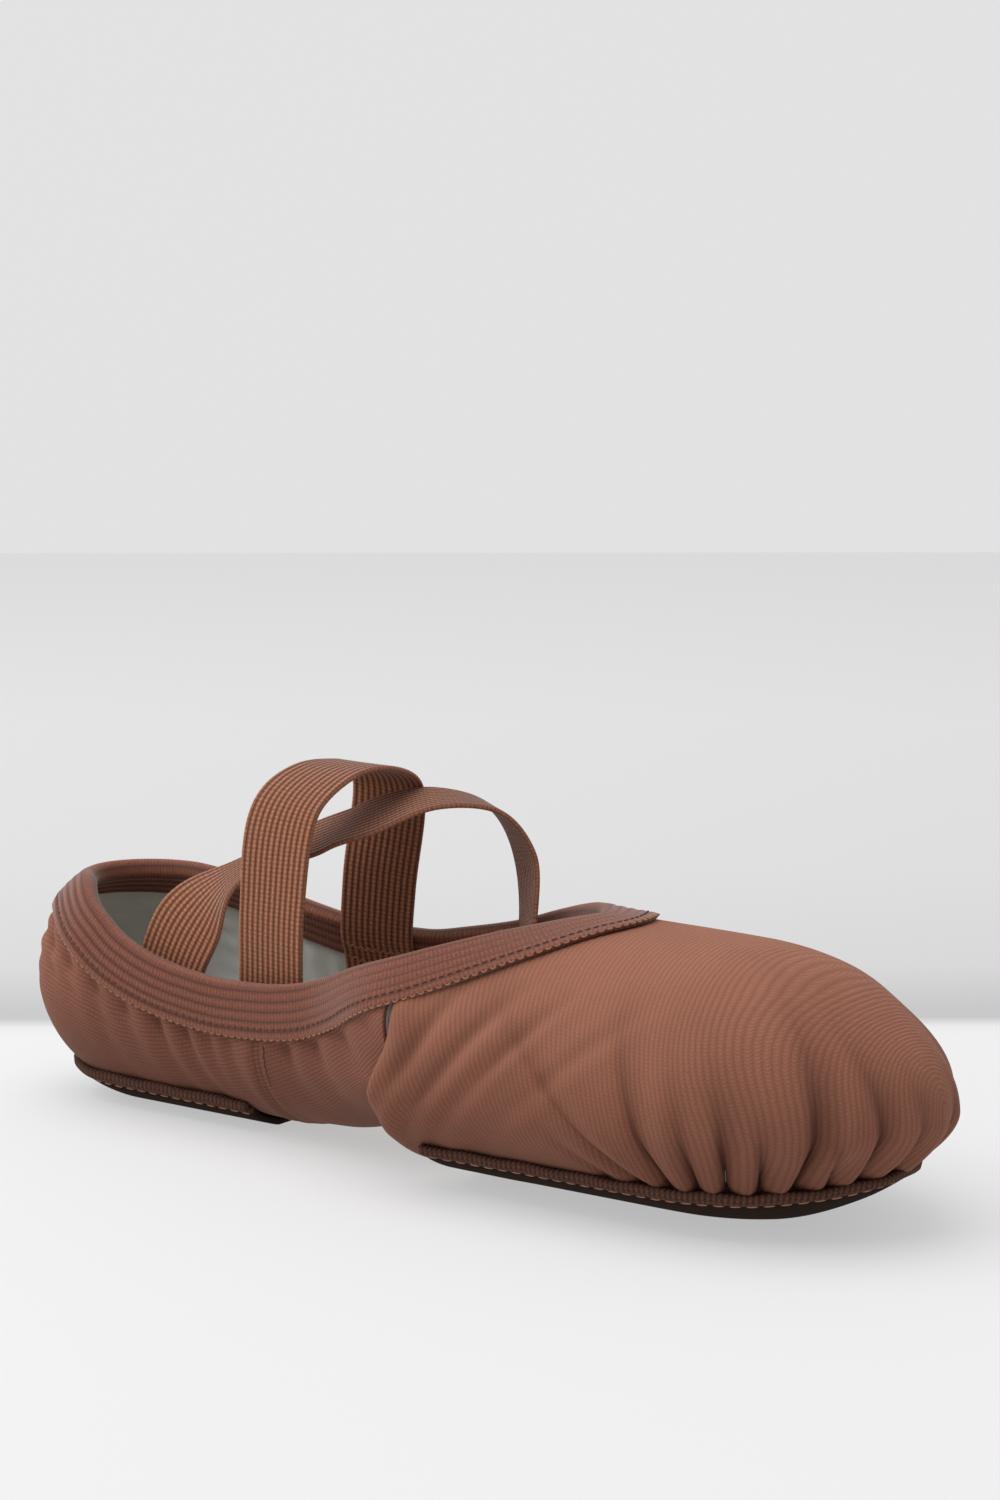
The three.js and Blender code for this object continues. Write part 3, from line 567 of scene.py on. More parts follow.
vamp_canvas = canvas_material("vamp_canvas", (0.395, 0.168, 0.109), (0.285, 0.113, 0.070), RIB, STITCH)
lines = fore_lines(HEM_REAR, 0.75, 190)
points, normal, depth = wall_grid(FORE_FORM, lines, WALL_ROWS, UNDER_ROWS)
along_rim = run_along(points[:, WALL_ROWS])
from_toe = (along_rim - along_rim[len(lines) // 2])[:, None]
rim_depth = depth[:, WALL_ROWS:WALL_ROWS + 1]
above_rim = rim_depth - depth
# Each pleat: place along the rim from the toe's tip, depth, height, drift to the heel, width.
PLEATS = [
    (4, 2.8, 15, 0.10, 2.0), (12.5, 3.4, 20, 0.08, 2.2), (19.5, 2.2, 10, 0.15, 1.5),
    (26, 3.4, 24, -0.02, 2.4), (33.5, 3.0, 13, 0.12, 2.0), (40.5, 3.6, 17, 0.10, 2.2),
    (47, 2.9, 15, 0.16, 1.8), (53.5, 3.0, 21, 0.30, 2.0), (60.5, 2.0, 20, 0.95, 2.2),
    (69, 1.0, 14, 0.9, 2.2)]


def pleat_push(from_toe, above_rim):
    """How far the pleats push the cloth along its normal and sideways, and how much painted shade lies in
    them.
    """
    press, pull, shade = (np.zeros_like(above_rim) for _ in range(3))
    height = np.maximum(above_rim, 0)
    for place, deep, tall, drift, wide in PLEATS:
        for side in (-1, 1):
            away = side * from_toe - place * (1 if side > 0 else 0.97) - drift * height
            fading = swell(height, 0, tall) * swell(np.minimum(above_rim, 0), 0, 3)
            broad = 1 + 0.9 * height / tall
            steep = np.where(away > 0, 0.55, 1.25) * wide * broad
            press -= deep * fading * np.exp(-np.abs(away / steep) ** 1.5)
            shade += 0.36 * deep * fading ** 0.7 * np.exp(-np.abs(away / (0.8 * steep)) ** 1.5)
            press += 0.40 * deep * fading * swell(away, -3.6 * broad, 2.4)
            pull += side * 0.5 * deep * fading * swell(away, -1.6, 1.8)
    return press, pull, shade


press, pull, shade = pleat_push(from_toe, above_rim)
x, z = points[..., 0], points[..., 2]
# A slow unevenness over the ball and a shallow hollow in the side behind it.
soft = 0.35 * np.sin(x / 9.0 + z / 7.0) * swell(x, 22, 20) * ramp(z, 8, 22) * (1 - ramp(z, 40, 52))
hollow = -0.5 * swell(x, 14, 7) * swell(z, 30, 9)
# The loose hem: a turned edge, a bead behind it and a slow wave down it.
hem_edge = run_along(points[:, HEM_ROW])
hem_edge = np.minimum(hem_edge, hem_edge[-1] - hem_edge)[:, None]
below_fold = 1 - ramp(z, 38, 47)
hem = below_fold * (0.9 * swell(hem_edge, 4, 3.5) - 1.3 * swell(hem_edge, 0, 1.1))
hem += below_fold * 0.45 * swell(hem_edge, 0, 9) * np.sin(z / 3.4 + 1.2)
# Slanted creases behind the ball: place at 12 mm up, lean, depth, width.
creases = 0 * x
mid_wall = ramp(z, 8, 16) * (1 - ramp(z, 36, 50))
for low, lean, deep, wide in ((8, 0.75, 0.9, 2.6), (15, 0.9, 0.7, 2.4),
                              (1, 0.6, 0.7, 2.2), (26, 1.1, 0.4, 3.0)):
    across = x - low - lean * (z - 12)
    creases -= deep * swell(across, 0, wide) * mid_wall
    creases += 0.5 * deep * swell(across, 2 * wide, wide) * mid_wall
# Painted shade in the creases and the hollow, added to that of the pleats.
shade += np.clip(-0.45 * (creases + hollow), 0, 0.5)
tangent = np.gradient(points, axis=0)
tangent /= np.linalg.norm(tangent, axis=-1, keepdims=True) + 1e-9
points = points + normal * (press + soft + hollow + hem + creases)[..., None] + tangent * pull[..., None]
points[..., 2] = np.maximum(points[..., 2], FLOOR_CLEAR)
# Ribs lie across the foot; over the toe they follow the distance along the ridge.
RIDGE_HEIGHT, RIB_LEAN = 36, 0.30
ridge_x = np.linspace(-20, LENGTH / 2, 800)
past_toe = np.clip((ridge_x - TOE_CENTRE) / TOE_ROUND, 0, None)
ridge_z = np.sqrt(np.clip(1 - past_toe ** 2, 0, 1)) * RIDGE_HEIGHT
ridge_run = np.concatenate([[0], np.cumsum(np.hypot(np.diff(ridge_x), np.diff(ridge_z)))])
fan_x = TOE_CENTRE + TOE_ROUND * np.sqrt(np.clip(1 - lines[:, 3] ** 2, 0, 1))
fan_x = np.where(lines[:, 0] < TOE_CENTRE - 0.01, lines[:, 0], fan_x)[:, None]
turning = ramp(depth / rim_depth, 0.35, 0.85) * ramp(lines[:, :1], TOE_CENTRE - 1, TOE_CENTRE)
rib_x = x * (1 - turning) + fan_x * turning
across_ribs = np.interp(rib_x, ridge_x, ridge_run) + RIB_LEAN * z * (1 - ramp(x, 75, 110))
vamp = cloth("vamp_canvas", points, np.stack([across_ribs, depth], -1), CANVAS, [vamp_canvas], shade)
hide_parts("vamp")
bends_at_fold(vamp)

# ------------------------------------------------------------------ heel quarters and arch panels
# The same canvas with the ribs along the foot. Two quarters meet at the back seam; an arch
# panel runs on from each side seam and is tucked inside the vamp's hem.
QUARTER_ROWS, QUARTER_UNDER, QUARTER_LOWEST, SEAM_SPLIT = 60, 22, -89.0, 0.12
quarter_canvas = canvas_material("quarter_canvas", (0.365, 0.150, 0.099), (0.225, 0.086, 0.054),
                                 0.0010, 0.0009)
# Each crease: place below the collar, drift forward, depth, width, height.
HEEL_CREASES = [
    (-106, 0.35, 0.9, 2.0, 14), (-97, 0.25, 1.1, 2.2, 16), (-88, 0.30, 1.0, 2.0, 18),
    (-79, 0.32, 1.2, 2.0, 14), (-69, 0.30, 1.7, 2.0, 18), (-61, 0.30, 2.0, 1.8, 20),
    (-54, 0.26, 1.6, 1.7, 15), (-47.5, 0.2, 1.3, 1.6, 13), (-31, 0.35, 1.5, 2.3, 14),
    (-23, 0.5, 1.7, 2.4, 16), (-13, 0.6, 1.2, 2.6, 15), (-3, 0.7, 0.8, 2.6, 12)]


def heel_creases(points, depth, side):
    """How far the gathers below the collar elastic and the side seam move the cloth."""
    x = points[..., 0]
    shift = np.zeros_like(x)
    for start, drift, deep, wide, tall in HEEL_CREASES:
        away = x - (start + (0.6 * side) + drift * (depth - 9))
        fading = ramp(depth, 8.5, 13) * swell(np.maximum(depth - 10, 0), 0, tall)
        spread_out = wide * (1 + np.maximum(depth - 9, 0) / 22)
        shift -= deep * fading * swell(away, 0, spread_out)
        shift += 0.45 * deep * fading * swell(away, 2.3 * spread_out, 1.4 * spread_out)
    ripple = 0.35 * np.sin(depth * 1.15 + x / 14) * ramp(-x, 62, 90)
    shift += ripple * ramp(depth, 9, 12) * swell(depth, 15, 9)
    beside_seam = 0.35 * swell(np.abs(x - SIDE_SEAM), 2.4, 1.6)
    return shift + (beside_seam - 0.5 * swell(x, SIDE_SEAM, 1.0)) * ramp(depth, 8, 12)


def canvas_half(name, lines, side, replaced):
    points, normal, depth = wall_grid(HEEL_FORM, lines, QUARTER_ROWS, QUARTER_UNDER, QUARTER_LOWEST)
    x = points[..., 0].copy()
    shift = heel_creases(points, depth, side)
    points = points + normal * shift[..., None]
    points[..., 1] = side * np.maximum(side * points[..., 1], SEAM_SPLIT)
    points[..., 2] = np.maximum(points[..., 2], FLOOR_CLEAR)
    round_heel = run_along(points[:, QUARTER_ROWS // 2])[:, None]
    uv = np.stack([depth + 0.25 * x, round_heel + 0 * x], -1)
    # Painted shade where the gathers sink in.
    piece = cloth(name, points, uv, CANVAS, [quarter_canvas], np.clip(-0.42 * shift, 0, 0.75))
    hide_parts(replaced)
    return piece


for side, word in ((-1, "right"), (1, "left")):
    both = heel_lines(PANEL_FRONT, 1.0, 48)
    if side < 0:
        half = both[:len(both) // 2 + 1][::-1]
    else:
        half = np.concatenate([wall_lines([HEEL_CENTRE], side, 90.0), both[both[:, 4] == side]])
    behind = np.concatenate([half[half[:, 0] < SIDE_SEAM], wall_lines([SIDE_SEAM - SEAM_SPLIT], side)])
    ahead = np.concatenate([wall_lines([SIDE_SEAM + SEAM_SPLIT], side), half[half[:, 0] >= SIDE_SEAM]])
    quarter = canvas_half(f"{word}_heel_canvas", behind, side, f"{word}_heel_quarter")
    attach(quarter, "heel")
    panel = canvas_half(f"{word}_arch_canvas", ahead, side, f"{word}_arch_panel")
    bends_at_fold(panel)

# ------------------------------------------------------------------ lining
# Grey-green brushed cotton glued inside the canvas from heel to toe. It is cut in two pieces,
# which overlap under the fold and follow the gathers and pleats of the canvas.
LINING, LINING_FACE, LINING_ROWS = 0.6, -1.25, 60


def nap(n, l, shader, scale, detail):
    """A short uneven pile."""
    place = n.new("ShaderNodeTexCoord")
    raised(n, l, shader, noise(n, l, place.outputs["Object"], scale, detail), 0.5, 0.0002)


lining_cotton, n, l, shader = new_material("lining_cotton", (0.60, 0.60, 0.56), 0.95)
shader.inputs["Specular IOR Level"].default_value = 0.1
shader.inputs["Sheen Weight"].default_value = 0.2
nap(n, l, shader, 900, 4)
for name, form, lines, flat, area in (
        ("heel_lining", HEEL_FORM, heel_lines(PANEL_FRONT, 1.2, 40), (0.150, 0.130), 0.0139),
        ("forefoot_lining", FORE_FORM, fore_lines(FOLD - 1.5, 1.2, 120), (0.160, 0.140), 0.0194)):
    points, normal, depth = wall_grid(form, lines, LINING_ROWS, 16, -90)
    if form is FORE_FORM:
        along = run_along(points[:, LINING_ROWS])
        from_toe = (along - along[len(lines) // 2])[:, None]
        above_rim = depth[:, LINING_ROWS:LINING_ROWS + 1] - depth
        beside_hem = (1 - ramp(points[..., 2], 46, 53)) * (1 - ramp(points[..., 0], 34, 50))
        follow = np.minimum(pleat_push(from_toe, above_rim)[0], 0) - 1.5 * beside_hem
    else:
        follow = np.minimum(heel_creases(points, depth, lines[:, 4:5]), 0)
    points = points + normal * (follow + LINING_FACE)[..., None]
    lining = cloth(name + "_cotton", points, np.stack([depth, points[..., 0]], -1), LINING, [lining_cotton])
    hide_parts(name)
    bends_at_fold(lining)

# ------------------------------------------------------------------ insole pads
# Thin foam under cotton, one in the heel and one in the forefoot, glued down on the lining.
# Each stops 4 mm short of the end of the sole patch below it.
PAD, PAD_FACE, PAD_SHORT = 2.0, -2.2, 4
for name, form, lines, body in (
        ("heel_insole_pad", HEEL_FORM, heel_lines(HEEL_PATCH_FRONT - PAD_SHORT, 3, 14, False), "heel"),
        ("front_insole_pad", FORE_FORM, fore_lines(FRONT_PATCH_REAR + PAD_SHORT, 3, 20, False), "forefoot")):
    angle = np.linspace(-90, MARGIN, 12)[None] * np.ones((len(lines), 1))
    points = line_points(form, lines, angle)
    points = points + form_normals(form, points) * PAD_FACE
    pad = cloth(name + "_cotton", points, points[..., :2], PAD, [lining_cotton])
    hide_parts(name)
    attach(pad, body)

# ------------------------------------------------------------------ sole patches
# Dark suede, sewn round a pleated edge. The top of the patch stands up as a rough brown rim
# above the stitches; below them the suede curves under and lies flat on the floor.
SUEDE, SUEDE_FACE, RIM_BAND = 1.5, 1.9, 3.6
suede, n, l, shader = new_material("suede", (0.024, 0.014, 0.010), 1.0)
shader.inputs["Specular IOR Level"].default_value = 0.03
nap(n, l, shader, 700, 5)
rim_weave, n, l, shader = new_material("rim_weave", (0.115, 0.046, 0.030), 0.9)
shader.inputs["Specular IOR Level"].default_value = 0.2
ribs = knit_on_weave(n, l, 0.0012, 0.0009)
tone = mixed_color(n, l, ribs.outputs["Shade"], (0.030, 0.013, 0.009), (0.135, 0.055, 0.036))
l.new(tone, shader.inputs["Base Color"])
raised(n, l, shader, ribs.outputs["Height"], 1.0, 0.0003)


def patch_grid(form, lines, rim):
    """Points from under the foot out to the patch's rim, and how far each lies from the rim."""
    points = line_points(form, lines, np.linspace(-90, rim, 60)[None] * np.ones((len(lines), 1)))
    run = np.stack([run_along(p) for p in points])
    return points, run[:, -1:] - run


for name, form, lines, body, rim in (
        ("heel_outsole", HEEL_FORM, heel_lines(HEEL_PATCH_FRONT, 1.2, 40, False), "heel", HEEL_RIM),
        ("front_outsole", FORE_FORM, fore_lines(FRONT_PATCH_REAR, 1.2, 70, False), "forefoot", RIM)):
    points, from_rim = patch_grid(form, lines, rim)
    round_run = run_along(points[:, -1])[:, None]
    # A groove under the sewing, a bead in the middle of the rim band and a turned-down edge.
    bulge = SUEDE_FACE - 0.45 * swell(from_rim, RIM_BAND, 0.7)
    bulge += 0.25 * swell(from_rim, 1.6, 1.3) - 0.9 * swell(from_rim, 0, 0.7)
    wave = 0.22 * np.sin(round_run / 2.3) * swell(from_rim, 0, 2.2)
    points = points + form_normals(form, points) * (bulge + wave)[..., None]
    points[..., 2] = np.maximum(points[..., 2], 0.0)
    patch = cloth(name + "_suede", points, np.stack([round_run + 0 * from_rim, from_rim], -1), SUEDE,
                  [suede, rim_weave])
    drop = np.empty(len(patch.data.loops) * 2, np.float32)
    patch.data.uv_layers["weave"].data.foreach_get("uv", drop)
    corners = np.array([f.loop_start for f in patch.data.polygons])
    in_band = (drop[1::2][corners] * 1000 < RIM_BAND).astype(np.int32)
    patch.data.polygons.foreach_set("material_index", in_band)
    patch.data.update()
    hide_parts(name)
    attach(patch, body)

# ------------------------------------------------------------------ collar binding
# Ribbed elastic tape folded over the collar edge: a deep leg outside, a shorter one inside.
# One ring of it is sewn through both legs all round, and it gathers the canvas of the heel.
def elastic_material(name, light, dark, rib):
    """Woven ribs along V, each rib crossed by fine picks, with painted shade in its grooves."""
    made, n, l, shader = new_material(name, light, 0.72)
    shader.inputs["Sheen Weight"].default_value = 0.3
    shader.inputs["Sheen Roughness"].default_value = 0.4
    shader.inputs["Specular IOR Level"].default_value = 0.25
    weave = n.new("ShaderNodeUVMap")
    weave.uv_map = "weave"
    picks = n.new("ShaderNodeTexWave")
    picks.bands_direction = "Y"
    picks.inputs["Scale"].default_value = 330
    picks.inputs["Distortion"].default_value = 1.2
    picks.inputs["Detail Scale"].default_value = 3
    l.new(weave.outputs["UV"], picks.inputs["Vector"])
    both = n.new("ShaderNodeMix")
    both.inputs["Factor"].default_value = 0.72
    l.new(picks.outputs["Fac"], both.inputs["A"])
    l.new(noise(n, l, weave.outputs["UV"], 1500), both.inputs["B"])
    # Painted shade in the grooves between the ribs: the yarn colour darkens where the rib wave is low.
    ribs = n.new("ShaderNodeTexWave")
    ribs.bands_direction = "X"
    ribs.inputs["Scale"].default_value = math.pi / 10 / rib
    ribs.inputs["Phase Offset"].default_value = math.pi / 2
    l.new(weave.outputs["UV"], ribs.inputs["Vector"])
    groove = math_node(n, l, "POWER", ribs.outputs["Fac"], 0.45)
    yarn = math_node(n, l, "MULTIPLY", both.outputs["Result"], groove)
    l.new(mixed_color(n, l, yarn, dark, light), shader.inputs["Base Color"])
    raised(n, l, shader, both.outputs["Result"], 0.7, 0.00018)
    return made


def closed_strip(name, sections, uv, material, capped=True):
    """Closed loop sections along a course, capped at both ends unless it is a ring."""
    count, around = sections.shape[:2]
    index = np.arange(count * around).reshape(count, around)
    following = np.roll(index, -1, axis=1)
    quads = np.stack([index[:-1], following[:-1], following[1:], index[1:]], -1).reshape(-1, 4).tolist()
    for row, flip in ((index[0], 1), (index[-1], -1)) if capped else ():
        for k in range(around // 2 - 1):
            cap = (row[k], row[k + 1], row[around - 2 - k], row[around - 1 - k])
            quads.append([int(v) for v in cap][::flip])
    mesh = bpy.data.meshes.new(name)
    mesh.from_pydata((sections.reshape(-1, 3) / 1000 + np.array(origin)).tolist(), [], quads)
    set_weave(mesh, uv)
    mesh.materials.append(material)
    shape = bmesh.new()
    shape.from_mesh(mesh)
    bmesh.ops.remove_doubles(shape, verts=shape.verts, dist=1e-6)
    bmesh.ops.recalc_face_normals(shape, faces=shape.faces)
    shape.to_mesh(mesh)
    shape.free()
    mesh.polygons.foreach_set("use_smooth", np.ones(len(mesh.polygons), bool))
    return stand(name, mesh)


def smooth_course(p, times):
    for _ in range(times):
        p = np.concatenate([p[:1], (p[:-2] + 2 * p[1:-1] + p[2:]) / 4, p[-1:]])
    return p


def collar_edge(form, lines):
    """Points of the collar edge with normals and the way down into the cloth."""
    edge = line_points(form, lines, collar_angles(form, lines))[:, 0]
    normal = form_normals(form, edge)
    return edge, normal, unit(np.cross(np.gradient(edge, axis=0), normal))


OUTER_LEG, INNER_LEG, EDGE_GAP = 10.6, 7.6, 0.2
OUTER_MIDDLE, INNER_MIDDLE = 0.85, -2.45
TAPE_HALF, TAPE_RIB, TAPE_PITCH = 0.42, 0.22, 2.1
FOLD_ROWS, FOLD_RUN, FOLD_RISE = 9, 3, 0.55


def on_cloth(form, p):
    """Points moved onto the last, with its tuck, and their normals."""
    spot = onto_form(form, p)
    normal = form_normals(form, spot)
    return spot + normal * form[1](spot[..., 0], spot[..., 2])[..., None], normal


def binding_sections(form, edge, normal, down):
    """Profile of the folded tape at each place along the collar."""
    def leg(depth, middle, facing):
        spot, out = on_cloth(form, edge[:, None] + down[:, None] * depth[None, :, None])
        half = TAPE_HALF + TAPE_RIB * np.abs(np.sin(np.pi * depth / TAPE_PITCH)) ** 0.7
        return spot + out * (middle + facing * half)[None, :, None], spot + out * (middle - facing * TAPE_HALF)

    def over_edge(radius):
        turn = np.radians(np.linspace(15, 165, FOLD_ROWS))
        sideways = (OUTER_MIDDLE + INNER_MIDDLE) / 2 + radius * np.cos(turn)
        rise = EDGE_GAP + FOLD_RISE * radius * np.sin(turn)
        return (edge[:, None] + normal[:, None] * sideways[None, :, None]
                - down[:, None] * rise[None, :, None])

    outer_depth = np.linspace(OUTER_LEG, EDGE_GAP, 40)
    inner_depth = np.linspace(EDGE_GAP, INNER_LEG, 22)
    radius = (OUTER_MIDDLE - INNER_MIDDLE) / 2
    outer, inner = leg(outer_depth, OUTER_MIDDLE, 1), leg(inner_depth, INNER_MIDDLE, -1)
    face = np.concatenate([outer[0], over_edge(radius + 0.5), inner[0]], 1)
    back_face = np.concatenate([outer[1], over_edge(radius - TAPE_HALF), inner[1]], 1)
    wide = np.concatenate([-outer_depth, np.linspace(0, FOLD_RUN, FOLD_ROWS), FOLD_RUN + inner_depth])
    return np.concatenate([face, back_face[:, ::-1]], 1), np.concatenate([wide, wide[::-1]])


binding_elastic = elastic_material("binding_elastic", (0.36, 0.122, 0.070), (0.080, 0.024, 0.013),
                                   TAPE_PITCH / 1000)
edge_h, normal_h, down_h = collar_edge(HEEL_FORM, heel_lines(PANEL_FRONT, 1.0, 46)[::-1])
near_throat = np.concatenate([np.arange(FOLD + 1.5, THROAT - 2, 1.0),
                              THROAT - np.array([1.6, 1.2, 0.85, 0.55, 0.3, 0.12, 0.03, 0])])
edge_t, normal_t, down_t = collar_edge(FORE_FORM, both_halves(wall_lines(near_throat, -1), "last"))
sections_h, wide = binding_sections(HEEL_FORM, edge_h, normal_h, down_h)
sections_t, _ = binding_sections(FORE_FORM, edge_t, normal_t, down_t)
ring = np.concatenate([sections_h, sections_t, sections_h[:1]])
for _ in range(3):
    smoothed = (np.roll(ring[:-1], 1, 0) + 2 * ring[:-1] + np.roll(ring[:-1], -1, 0)) / 4
    ring = np.concatenate([smoothed, smoothed[:1]])
run = run_along(ring[:, 30])
uv = np.stack(np.broadcast_arrays(wide[None], run[:, None]), -1)
binding = closed_strip("collar_binding", ring, uv, binding_elastic, capped=False)
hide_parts("heel_binding", "throat_binding")
bends_at_fold(binding)

# ------------------------------------------------------------------ elastic straps
# Two ribbed elastics, 19 mm wide, sewn flat inside the collar. The cross strap goes straight
# over the instep; the long strap runs from near the heel to the far front, under it.
STRAP_WIDTH, STRAP_RIBS, STRAP_SPACE = 19.0, 12, 9.9
STRAP_HALF, STRAP_RIB, STRAP_EDGE = 0.34, 0.24, 0.2
INSIDE_BINDING = -4.1
SEWN = np.array([0.0, 4.5, 9.0])
# Each end: place along the shoe, side, distance off the binding, how far down it starts.
CROSS_RIGHT = -0.166 * LENGTH
STRAP_ENDS = {
    "cross_strap_right": (CROSS_RIGHT, -1, 0.3, 0),
    "cross_strap_left": (-0.164 * LENGTH, 1, 0.4, 0),
    "long_strap_right": (CROSS_RIGHT - STRAP_WIDTH - STRAP_SPACE, -1, 0.3, 0),
    "long_strap_left": (-0.002 * LENGTH - STRAP_WIDTH / 2, 1, 2.3, 8)}


def strap_anchor(end, depth):
    place, side, ease, sunk = STRAP_ENDS[end]
    points, normal = down_the_wall(HEEL_FORM, wall_lines([place] * len(depth), side), sunk + depth)
    return points + normal * (INSIDE_BINDING - ease), normal


def curve_through(knots, per_span):
    """Centripetal Catmull-Rom curve."""
    k = np.concatenate([[2 * knots[0] - knots[1]], knots, [2 * knots[-1] - knots[-2]]])
    out = []
    for i in range(1, len(k) - 2):
        p0, p1, p2, p3 = k[i - 1:i + 3]
        t0 = 0.0
        t1 = t0 + np.linalg.norm((p1 - p0)[:3]) ** 0.5
        t2 = t1 + np.linalg.norm((p2 - p1)[:3]) ** 0.5
        t3 = t2 + np.linalg.norm((p3 - p2)[:3]) ** 0.5
        t = np.linspace(t1, t2, per_span, endpoint=False)[:, None]
        a1 = (t1 - t) / (t1 - t0) * p0 + (t - t0) / (t1 - t0) * p1
        a2 = (t2 - t) / (t2 - t1) * p1 + (t - t1) / (t2 - t1) * p2
        a3 = (t3 - t) / (t3 - t2) * p2 + (t - t2) / (t3 - t2) * p3
        b1 = (t2 - t) / (t2 - t0) * a1 + (t - t0) / (t2 - t0) * a2
        b2 = (t3 - t) / (t3 - t1) * a2 + (t - t1) / (t3 - t1) * a3
        out.append((t2 - t) / (t2 - t1) * b1 + (t - t1) / (t2 - t1) * b2)
    return np.concatenate(out + [k[-2:-1]])


strap_elastic = elastic_material("strap_elastic", (0.62, 0.245, 0.120), (0.085, 0.028, 0.014),
                                 STRAP_WIDTH / STRAP_RIBS / 1000)


def strap(name, rise, crown, fall, turned=None):
    """Elastic from the right end, by way of a rise, the crown's places and a fall, to the left
    end. A place is a point and the way that the strap faces there."""
    up, up_out = strap_anchor(f"{name}_right", SEWN[::-1])
    down, down_out = strap_anchor(f"{name}_left", SEWN)
    knots = np.concatenate([
        np.concatenate([up, up_out], 1), [np.concatenate([up[-1] + rise, up_out[-1]])],
        np.array(crown, float),
        [np.concatenate([down[0] + fall, turned or down_out[0]])], np.concatenate([down, down_out], 1)])
    path = curve_through(knots, 18)
    centre = smooth_course(path[:, :3], 6)
    heading = unit(np.gradient(centre, axis=0))
    across = unit(smooth_course(unit(np.cross(heading, path[:, 3:])), 12))
    facing = np.cross(across, heading)
    wide = np.linspace(-0.5, 0.5, STRAP_RIBS * 6 + 1)
    half = STRAP_HALF + STRAP_RIB * np.abs(np.sin(np.pi * (wide + 0.5) * STRAP_RIBS)) ** 0.7
    half[[0, -1]] = STRAP_EDGE
    middle = centre[:, None] + across[:, None] * (wide * STRAP_WIDTH)[None, :, None]
    thick = facing[:, None] * half[None, :, None]
    sections = np.concatenate([middle + thick, (middle - thick)[:, ::-1]], 1)
    run = run_along(centre)
    both_faces = np.concatenate([wide, wide[::-1]])[None] * STRAP_WIDTH
    uv = np.stack(np.broadcast_arrays(both_faces, run[:, None]), -1)
    piece = closed_strip(name + "_elastic", sections, uv, strap_elastic)
    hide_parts(name, f"{name}_right_end", f"{name}_left_end")
    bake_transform(piece)


def instep(length, width, rise, *facing):
    """A place over the instep: shares of the length and the half width, height over the throat."""
    return [LENGTH * length, INSTEP_HALF_WIDTH * width, THROAT_HEIGHT + rise, *facing]


strap("cross_strap", [0.5, 0, 18], [
    instep(-0.163, -0.535, 17.86, 0, -0.75, 0.66), instep(-0.153, -0.19, 24.51, 0, -0.3, 0.95),
    instep(-0.144, 0.226, 25.46, 0, 0.3, 0.95), instep(-0.149, 0.69, 20.14, 0, 0.75, 0.66)],
    [0.5, 0.5, 14])
strap("long_strap", [4, 2, 10], [
    instep(-0.238, -0.4, 0.8, -0.35, -0.4, 0.85), instep(-0.1702, 0.03, 9.5, 0, -0.28, 0.95),
    instep(-0.1277, 0.17, 14, 0.05, -0.26, 0.96), instep(-0.0787, 0.49, 18.5, 0.05, -0.03, 1),
    instep(-0.036, 0.86, 15.5, 0.35, 0.45, 0.85), instep(-0.012, 1.0, 4, 0.62, 0.78, 0.2)],
    [6.5, -5, 3], [0.62, 0.78, 0])

# ------------------------------------------------------------------ stitching
# Brown thread. A zigzag holds the edge of the collar binding, with a straight row above it;
# straight rows hold the soles, wavy rows the side seams, and bar tacks the strap ends.
def stitch_group():
    """Lays one thread stitch on each point, turned along the point's own direction."""
    group = bpy.data.node_groups.new("thread_stitches", "GeometryNodeTree")
    sockets = group.interface
    sockets.new_socket("Geometry", in_out="INPUT", socket_type="NodeSocketGeometry")
    sockets.new_socket("Length", in_out="INPUT", socket_type="NodeSocketFloat").default_value = 0.0015
    sockets.new_socket("Thickness", in_out="INPUT", socket_type="NodeSocketFloat").default_value = 0.0004
    sockets.new_socket("Thread", in_out="INPUT", socket_type="NodeSocketMaterial")
    sockets.new_socket("Geometry", in_out="OUTPUT", socket_type="NodeSocketGeometry")
    n, l = group.nodes, group.links
    start, end = n.new("NodeGroupInput"), n.new("NodeGroupOutput")
    bead = n.new("GeometryNodeMeshUVSphere")
    bead.inputs["Segments"].default_value = 8
    bead.inputs["Rings"].default_value = 6
    bead.inputs["Radius"].default_value = 0.5
    along = n.new("GeometryNodeInputNamedAttribute")
    along.data_type = "FLOAT_VECTOR"
    along.inputs["Name"].default_value = "along"
    turn = n.new("FunctionNodeAlignRotationToVector")
    turn.axis = "Z"
    l.new(along.outputs["Attribute"], turn.inputs["Vector"])
    size = n.new("ShaderNodeCombineXYZ")
    l.new(start.outputs["Thickness"], size.inputs["X"])
    l.new(start.outputs["Thickness"], size.inputs["Y"])
    l.new(start.outputs["Length"], size.inputs["Z"])
    lay = n.new("GeometryNodeInstanceOnPoints")
    l.new(start.outputs["Geometry"], lay.inputs["Points"])
    l.new(bead.outputs["Mesh"], lay.inputs["Instance"])
    l.new(turn.outputs["Rotation"], lay.inputs["Rotation"])
    l.new(size.outputs["Vector"], lay.inputs["Scale"])
    whole = n.new("GeometryNodeRealizeInstances")
    l.new(lay.outputs["Instances"], whole.inputs["Geometry"])
    paint = n.new("GeometryNodeSetMaterial")
    l.new(whole.outputs["Geometry"], paint.inputs["Geometry"])
    l.new(start.outputs["Thread"], paint.inputs["Material"])
    l.new(paint.outputs["Geometry"], end.inputs["Geometry"])
    return group


THREAD, STITCH_SHARE, ZIGZAG_SHARE = 0.00042, 0.0007, 0.00112
stitches_on_points = stitch_group()
thread_cotton = new_material("thread_cotton", (0.40, 0.185, 0.095), 0.8)[0]
dark_thread = new_material("dark_thread", (0.10, 0.038, 0.024), 0.8)[0]


def even_course(course, normal, pitch):
    """Places an even pitch apart along a course, with their normals."""
    run = run_along(course)
    spots = np.arange(pitch / 2, run[-1], pitch)
    return (np.stack([np.interp(spots, run, grid[:, k]) for k in range(3)], -1) for grid in (course, normal))


